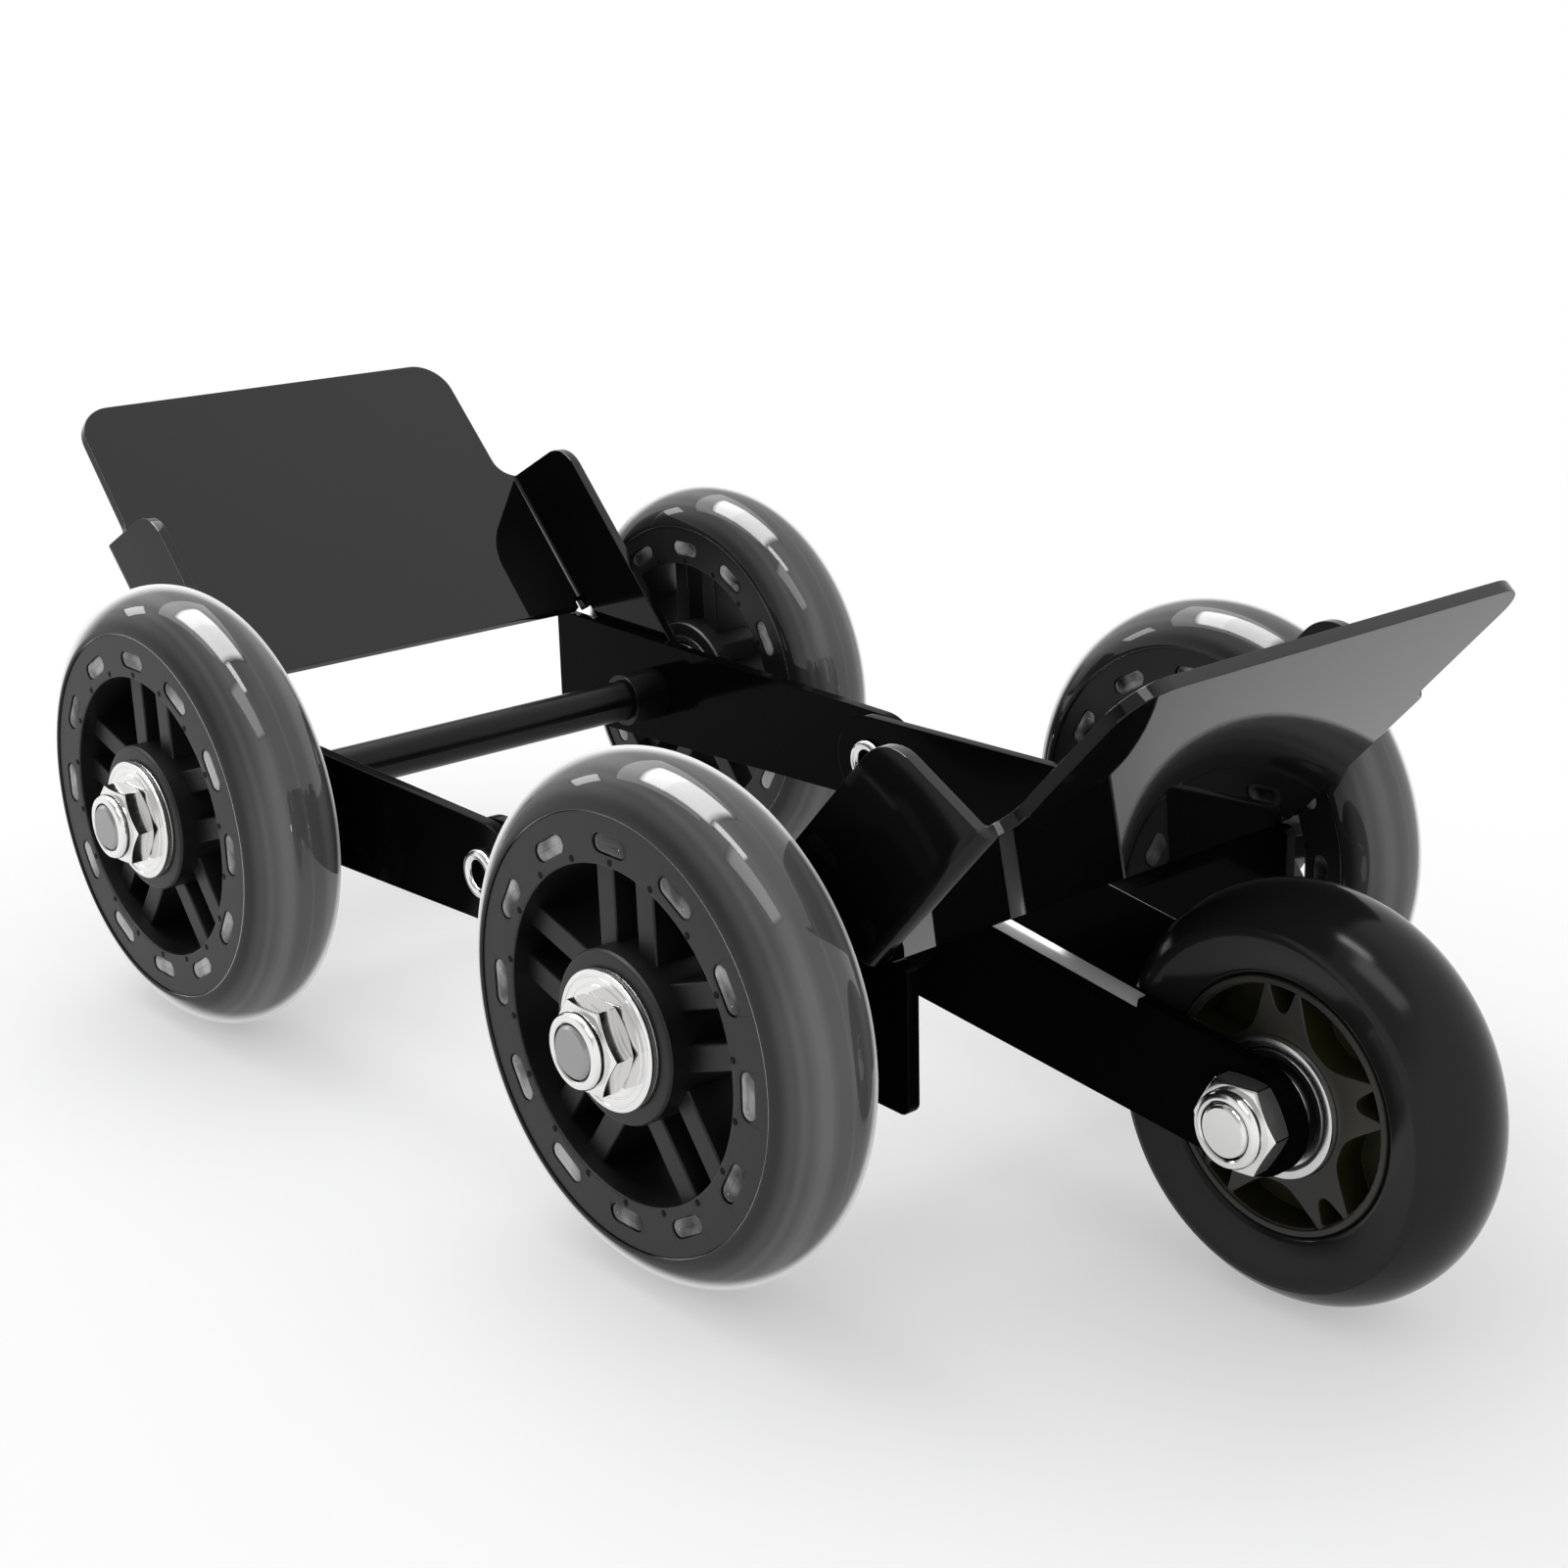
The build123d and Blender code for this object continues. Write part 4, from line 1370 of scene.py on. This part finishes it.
    def boss_outline(self) -> Outline:
        """Closed section of the boss, with a broad bevel round its face.

        Returns:
            Points as radius and distance along the axle.
        """
        r, h, seat = self.boss_r, self.boss_half, self.seat_r
        return both_faces([(seat, h - 0.35), (seat + 0.3, h), (r - 0.8, h), (r - 0.3, h - 0.2), (r, h - 0.7)])

    def build_spoke_pair(self) -> Piece:
        """Two parallel bars between boss and rim, rooted a little in both, at the start of their ring.

        Returns:
            The pair.
        """
        inner, outer = self.boss_r - self.spoke_roots[0], self.barrel_r + self.spoke_roots[1]
        size = (outer - inner, 2 * self.spoke_half, self.spoke_width)
        bars = []
        for sign in (-1, 1):
            rise = sign * (self.spoke_gap + self.spoke_width) / 2
            middle = self.centre + Vector(((inner + outer) / 2, 0, rise)) * MM
            bars.append(Bench.bar("spoke", size, middle, axis=0, rounding=0.5, segments=3))
        return Bench.join("spoke_pair", bars)

    def build_capsule(self, name: str, fit: float, ends: Span, axis: int | None = 1) -> Piece:
        """Bar with round ends at the first slot, along the rim.

        Args:
            name: Name of the piece.
            fit: How much narrower and shorter it is than the slot.
            ends: Y of its two faces from the middle of the hub.
            axis: Which of its edges are rounded, as on a bar.

        Returns:
            The bar.
        """
        start, end = ends
        width = self.slot_width - fit
        middle = self.centre + Vector((self.slot_r, (start + end) / 2, 0)) * MM
        size = (width, end - start, self.slot_length - fit)
        return Bench.bar(name, size, middle, axis, rounding=0.485 * width, segments=6)

    def build_slots(self) -> None:
        """Fill the hub's slots with urethane whose pale patches are painted light, each with a pale dome at
        its end as a painted glint.
        """
        for stem, make, coat in (("slot_windows", self.build_window, Coat.SLOT_URETHANE),
                                 ("slot_beads", self.build_bead, Coat.SLOT_BEAD)):
            parts = []
            for outwards in (-1, 1):
                parts += Bench.around(make(outwards), self.centre, self.slot_count)
            piece = Bench.join(f"{stem}_{self.name}", parts)
            Bench.smooth(piece, 50)
            self.shop.mount(piece, f"wheel_{self.name}", Slot.URETHANE, coat)

    def build_window(self, outwards: int) -> Piece:
        """One lozenge with round ends and a domed face, at the start of its ring.

        Args:
            outwards: Sign of Y of the hub's face.

        Returns:
            The lozenge.
        """
        ends = sorted((outwards * (self.hub_half - self.flange), outwards * (self.hub_half - 0.5)))
        piece = self.build_capsule("slot_window", self.slot_fit, tuple(ends))
        Bench.pick(piece, faces=lambda face: face.normal.y * outwards > 0.9)
        with Bench.editing(piece, "FACE"):
            for inset, rise in ((0.25, 0.22), (0.45, 0.16), (0.6, 0.06)):
                bpy.ops.mesh.inset(thickness=inset * MM)
                bpy.ops.transform.translate(value=(0, outwards * rise * MM, 0))
        return piece

    def build_bead(self, outwards: int) -> Piece:
        """Pale round dome at the lower end of the first slot; its pale colour is a painted glint.

        Args:
            outwards: Sign of Y of the hub's face.

        Returns:
            The bead.
        """
        drop = (self.slot_length - self.slot_width) / 2
        spot = self.centre + Vector((self.slot_r, outwards * (self.hub_half - 0.9), -drop)) * MM
        dome = [(0, 0), (1.15, 0), (1.1, 0.55), (0.8, 0.78), (0, 0.85)]
        return Bench.lathe("slot_bead", dome, spot, outwards, 12)

    def build_marks(self) -> None:
        """Small round mould marks round the inner edge of the hub's rim."""
        button = [(0, -0.3), (0.7, -0.3), (0.7, 0.05), (0.5, 0.1), (0, 0.02)]
        marks = []
        for outwards in (-1, 1):
            spot = self.centre + Vector((self.mark_r, outwards * (self.hub_half - 0.02), 0)) * MM
            mark = Bench.lathe("mould_mark", button, spot, outwards, 10)
            marks += Bench.around(mark, self.centre, self.mark_count, 180 / self.mark_count)
        piece = Bench.join(f"mould_marks_{self.name}", marks)
        Bench.smooth(piece, 40)
        self.shop.mount(piece, f"wheel_{self.name}", Slot.HUB, Coat.MOULD_MARK)


@dataclass
class NoseWheel:
    """Small wheel in the fork: black tyre, dark olive hub with pockets, bearings."""

    shop: Workshop
    radius: float = 38.98
    shoulder_drop: float = 6.3
    tyre_half: float = 12.0
    tread: float = 14.98
    fit: float = 0.02
    hub_half: float = 9.2
    rim_wall: float = 1.4
    web_half: float = 8.6
    floor_half: float = 1.6
    seat_r: float = 13.02
    boss_r: float = 14.5
    pockets: int = 5
    pocket_angle: float = 51.0
    pocket_phase: float = 54.0
    pocket_land: float = 0.3
    notch_angle: float = 14.0
    notch_depth: float = 4.6
    scallop: float = 2.8

    def build(self) -> None:
        """Make the whole wheel."""
        self.build_tyre("tyre_nose")
        self.build_hub("hub_nose")
        Bearings(self.shop, "nose").build()

    def build_tyre(self, node: str) -> None:
        """Mould the black tyre: low crown, round shoulders and sides that draw in.

        Args:
            node: The CAD node that it replaces.
        """
        centre = self.shop.middle(node)
        rim, half = self.radius - self.tread + self.fit, self.hub_half
        top = crown(self.radius, self.tyre_half, self.shoulder_drop, self.radius - self.shoulder_drop, 32)
        sides = [(rim + 1.2, -half - 0.3), (rim, -half), (rim, half), (rim + 1.2, half + 0.3)]
        tyre = Bench.lathe(f"{node}_moulded", top + sides + top[:1], centre, steps=144)
        Bench.round_edges(tyre, 1.3, 4, 40)
        Bench.smooth(tyre, 40)
        self.shop.stand_for(tyre, node, Slot.RUBBER, MouldedRubber("nose_tyre_rubber").make(centre))

    def build_hub(self, node: str) -> None:
        """Mould the hub and sink its pockets and notches into both faces.

        Args:
            node: The CAD node that it replaces.
        """
        centre = self.shop.middle(node)
        rim = self.radius - self.tread
        well = rim - self.rim_wall
        h, web, seat = self.hub_half, self.web_half, self.seat_r
        face = [(seat, web - 0.25), (seat + 0.25, web), (well - 0.3, web), (well, web + 0.15),
                (well + 0.1, h - 0.1), (well + 0.3, h), (rim - 0.3, h), (rim, h - 0.25)]
        hub = Bench.lathe(f"{node}_moulded", both_faces(face), centre, steps=120)
        outer = well - self.pocket_land
        between = self.pocket_phase + 180 / self.pockets
        cutters = []
        for inner, angle, phase in ((self.boss_r, self.pocket_angle, self.pocket_phase),
                                    (outer - self.notch_depth, self.notch_angle, between)):
            for ends in ((self.floor_half, h + 1), (-h - 1, -self.floor_half)):
                cutter = Bench.prism("pocket_cutter", self.pocket_outline(inner, outer, angle), centre, ends)
                cutters += Bench.around(cutter, centre, self.pockets, phase)
        Bench.combine(hub, Bench.join("pocket_cutters", cutters), "DIFFERENCE")
        Bench.weld(hub, 0.02)
        Bench.round_edges(hub, 0.35, angle=50)
        Bench.smooth(hub, 30, flat_faces=True)
        self.shop.stand_for(hub, node, Slot.OLIVE, Coat.OLIVE)

        def sunk(face: Face) -> bool:
            """Whether a face is the floor or the wall of a pocket."""
            away = (face.center - centre) / MM
            return seat + 0.8 < math.hypot(away.x, away.z) < well - 0.2 and abs(away.y) < web - 0.5

        # Painted shade: the pockets' floors and walls take the duller copy of the olive.
        self.shop.second_coat(hub, Coat.OLIVE_POCKET, sunk)

    def pocket_outline(self, inner: float, outer: float, angle: float) -> Outline:
        """Scallop about the X axis, round towards the boss and pointed where it meets the rim.

        Args:
            inner: Radius that it reaches towards the boss.
            outer: Radius of its side at the rim.
            angle: Its width at the rim in degrees.

        Returns:
            Corners as X and Z.
        """
        half = math.radians(angle / 2)
        turns = [-half + half * k / 8 for k in range(17)]
        curve = [(inner + (outer - inner) * abs(turn / half) ** self.scallop, turn) for turn in turns]
        arc = [(outer, half * k / 4) for k in (3, 2, 1, 0, -1, -2, -3)]
        return [(r * math.cos(turn), r * math.sin(turn)) for r, turn in curve + arc]


@dataclass(frozen=True)
class Viewpoint:
    """Camera of the photograph, with its place seen from the floor under the hinge."""

    place: Place = (0.42985, -0.34010, 0.23413)
    azimuth: float = 46.36
    elevation: float = 18.67
    roll: float = -0.39
    focal_px: float = 2668.31
    middle_px: Span = (948.91, 831.95)
    image_px: float = 1601.0
    sensor_mm: float = 36.0

    def build(self, foot: Vector) -> None:
        """Set the camera up.

        Args:
            foot: The floor under the hinge.
        """
        azimuth, elevation, roll = (math.radians(v) for v in (self.azimuth, self.elevation, self.roll))
        back = Vector((math.sin(azimuth) * math.cos(elevation), -math.cos(azimuth) * math.cos(elevation),
                       math.sin(elevation)))
        right = Vector((0, 0, 1)).cross(back).normalized()
        up = back.cross(right)
        turned_right = math.cos(roll) * right + math.sin(roll) * up
        turned_up = math.cos(roll) * up - math.sin(roll) * right
        data = bpy.data.cameras.new("photo_camera")
        data.sensor_width = self.sensor_mm
        data.lens = self.focal_px / self.image_px * self.sensor_mm
        data.shift_x = (self.image_px / 2 - self.middle_px[0]) / self.image_px
        data.shift_y = (self.middle_px[1] - self.image_px / 2) / self.image_px
        camera = bpy.data.objects.new("photo_camera", data)
        bpy.context.scene.collection.objects.link(camera)
        turn = Matrix((turned_right, turned_up, back)).transposed().to_4x4()
        camera.matrix_world = Matrix.Translation(foot + Vector(self.place)) @ turn
        bpy.context.scene.camera = camera


@dataclass(frozen=True)
class Pane:
    """Bright pane that only gloss sees, with its place seen from the floor under the hinge.

    A strength of 1 is white. A level pane looks straight down, and any other towards the dolly. The fade says
    where between its middle and its edge the pane goes dark, as a share of its width and depth.
    """

    place: Place
    width: float
    depth: float
    strength: float
    level: bool = True
    fade: Span = (0.38, 0.5)

    def build(self, foot: Vector) -> None:
        """Hang the pane.

        Args:
            foot: The floor under the hinge.
        """
        Bench.clear()
        bpy.ops.mesh.primitive_plane_add(size=1.0)
        pane = bpy.context.object
        pane.name = "softbox_pane"
        place = Vector(self.place)
        aim = Matrix.Rotation(math.pi, 4, "X") if self.level else facing(-place)
        size = Matrix.Diagonal((self.width, self.depth, 1, 1))
        pane.matrix_world = Matrix.Translation(foot + place) @ aim @ size
        shader = Shader.of("softbox_cloth")
        across, along, _ = shader.axes()
        lit = (1.0 - abs(across).ramp(*self.fade)) * (1.0 - abs(along).ramp(*self.fade))
        cloth = shader.mix(lit, grey(0.0), grey(1.0))
        glow = shader.out("ShaderNodeEmission", None, {"Color": cloth, "Strength": self.strength})
        pane.data.materials.append(shader.close(glow))
        for ray in ("camera", "diffuse", "shadow", "transmission"):
            setattr(pane, f"visible_{ray}", False)


@dataclass(frozen=True)
class Studio:
    """White floor and surroundings, one soft lamp overhead and the panes that the gloss mirrors."""

    floor_size: float = 8.0
    floor_tone: float = 0.55
    floor_glow: float = 0.4
    floor_fade: Span = (0.3, 0.75)
    fill: float = 0.85
    lamp_watts: float = 6.0
    lamp_size: float = 1.0
    lamp_place: Place = (-0.55, 0.05, 1.15)
    lamp_aim: Place = (0.0, 0.0, 0.05)
    dim_towards: Span = (0.6, 0.8)
    dim_from: Span = (0.5, 0.85)
    dim_tone: float = 0.45
    panes: tuple[Pane, ...] = (
        Pane((-0.45, 0.02, 1.17), width=0.98, depth=0.76, strength=13.0),
        Pane((0.65, -0.5, 1.17), width=0.9, depth=0.5, strength=3.5),
        Pane((-1.5, -0.45, 0.75), width=0.3, depth=0.4, strength=6.0, level=False),
        Pane((0.2, -0.21, 1.17), width=0.42, depth=0.16, strength=12.0))

    def build(self, foot: Vector) -> None:
        """Light the scene.

        Args:
            foot: The floor under the hinge.
        """
        bpy.context.scene.view_settings.view_transform = "Standard"
        self.build_world()
        self.build_floor()
        self.build_lamp(foot)
        for pane in self.panes:
            pane.build(foot)

    def build_world(self) -> None:
        """White to the camera and to gloss and glass, and a plain fill to everything else."""
        world = bpy.data.worlds.new("white_room")
        bpy.context.scene.world = world
        shader = Shader(world)
        path = shader.node("ShaderNodeLightPath").outputs
        rays = ("Is Camera Ray", "Is Glossy Ray", "Is Transmission Ray")
        eye, gloss, glass = (Wire(shader, path[ray]) for ray in rays)
        seen = eye.maths("MAXIMUM", eye, gloss.maths("MAXIMUM", gloss, glass))
        _, across, up = shader.axes()
        front = up * self.dim_towards[1] - across * self.dim_towards[0]
        ceiling = 1.0 - gloss * front.ramp(*self.dim_from) * (1.0 - self.dim_tone)
        strength = (self.fill + seen * (1.0 - self.fill)) * ceiling
        sky = shader.out("ShaderNodeBackground", None, {"Color": grey(1.0), "Strength": strength})
        shader.node("ShaderNodeOutputWorld", None, {"Surface": sky})

    def build_floor(self) -> None:
        """Plain pale floor that fades into the white room away from the dolly."""
        Bench.clear()
        bpy.ops.mesh.primitive_plane_add(size=self.floor_size)
        floor = bpy.context.object
        floor.name = "floor"
        shader = Shader.of("floor_paper")
        away = shader.out("ShaderNodeVectorMath", {"operation": "LENGTH"}, {0: shader.place}, output="Value")
        paper = shader.out("ShaderNodeBsdfDiffuse", None, {"Color": grey(self.floor_tone)})
        glow = shader.out("ShaderNodeEmission", None, {"Color": grey(1.0), "Strength": self.floor_glow})
        lit = shader.out("ShaderNodeAddShader", None, {0: paper, 1: glow})
        clear = shader.out("ShaderNodeBsdfTransparent")
        faded = shader.out("ShaderNodeMixShader", None, {0: away.ramp(*self.floor_fade), 1: lit, 2: clear})
        floor.data.materials.append(shader.close(faded))

    def build_lamp(self, foot: Vector) -> None:
        """Soft lamp above the left end.

        Args:
            foot: The floor under the hinge.
        """
        place, aim = Vector(self.lamp_place), Vector(self.lamp_aim)
        data = bpy.data.lights.new("softbox", "AREA")
        data.shape = "SQUARE"
        data.size = self.lamp_size
        data.energy = self.lamp_watts
        lamp = bpy.data.objects.new("softbox", data)
        bpy.context.scene.collection.objects.link(lamp)
        lamp.matrix_world = Matrix.Translation(foot + place) @ facing(aim - place)


def main() -> None:
    """Build the studio and every piece of the dolly."""
    logging.basicConfig(level=logging.INFO, format="%(name)s: %(message)s")
    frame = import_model()
    shop = Workshop(frame["nodes"])
    hinge = (shop.middle("left_axle") + shop.middle("right_axle")) / 2
    foot = Vector((hinge.x, 0, 0))
    Viewpoint().build(foot)
    Studio().build(foot)
    FrameHalves(shop).build()
    CradlePlates(shop).build()
    Fasteners(shop).build()
    for half in Half:
        for side in Side:
            RoadWheel(shop, half, side).build()
    NoseWheel(shop).build()


if __name__ == "__main__":
    main()
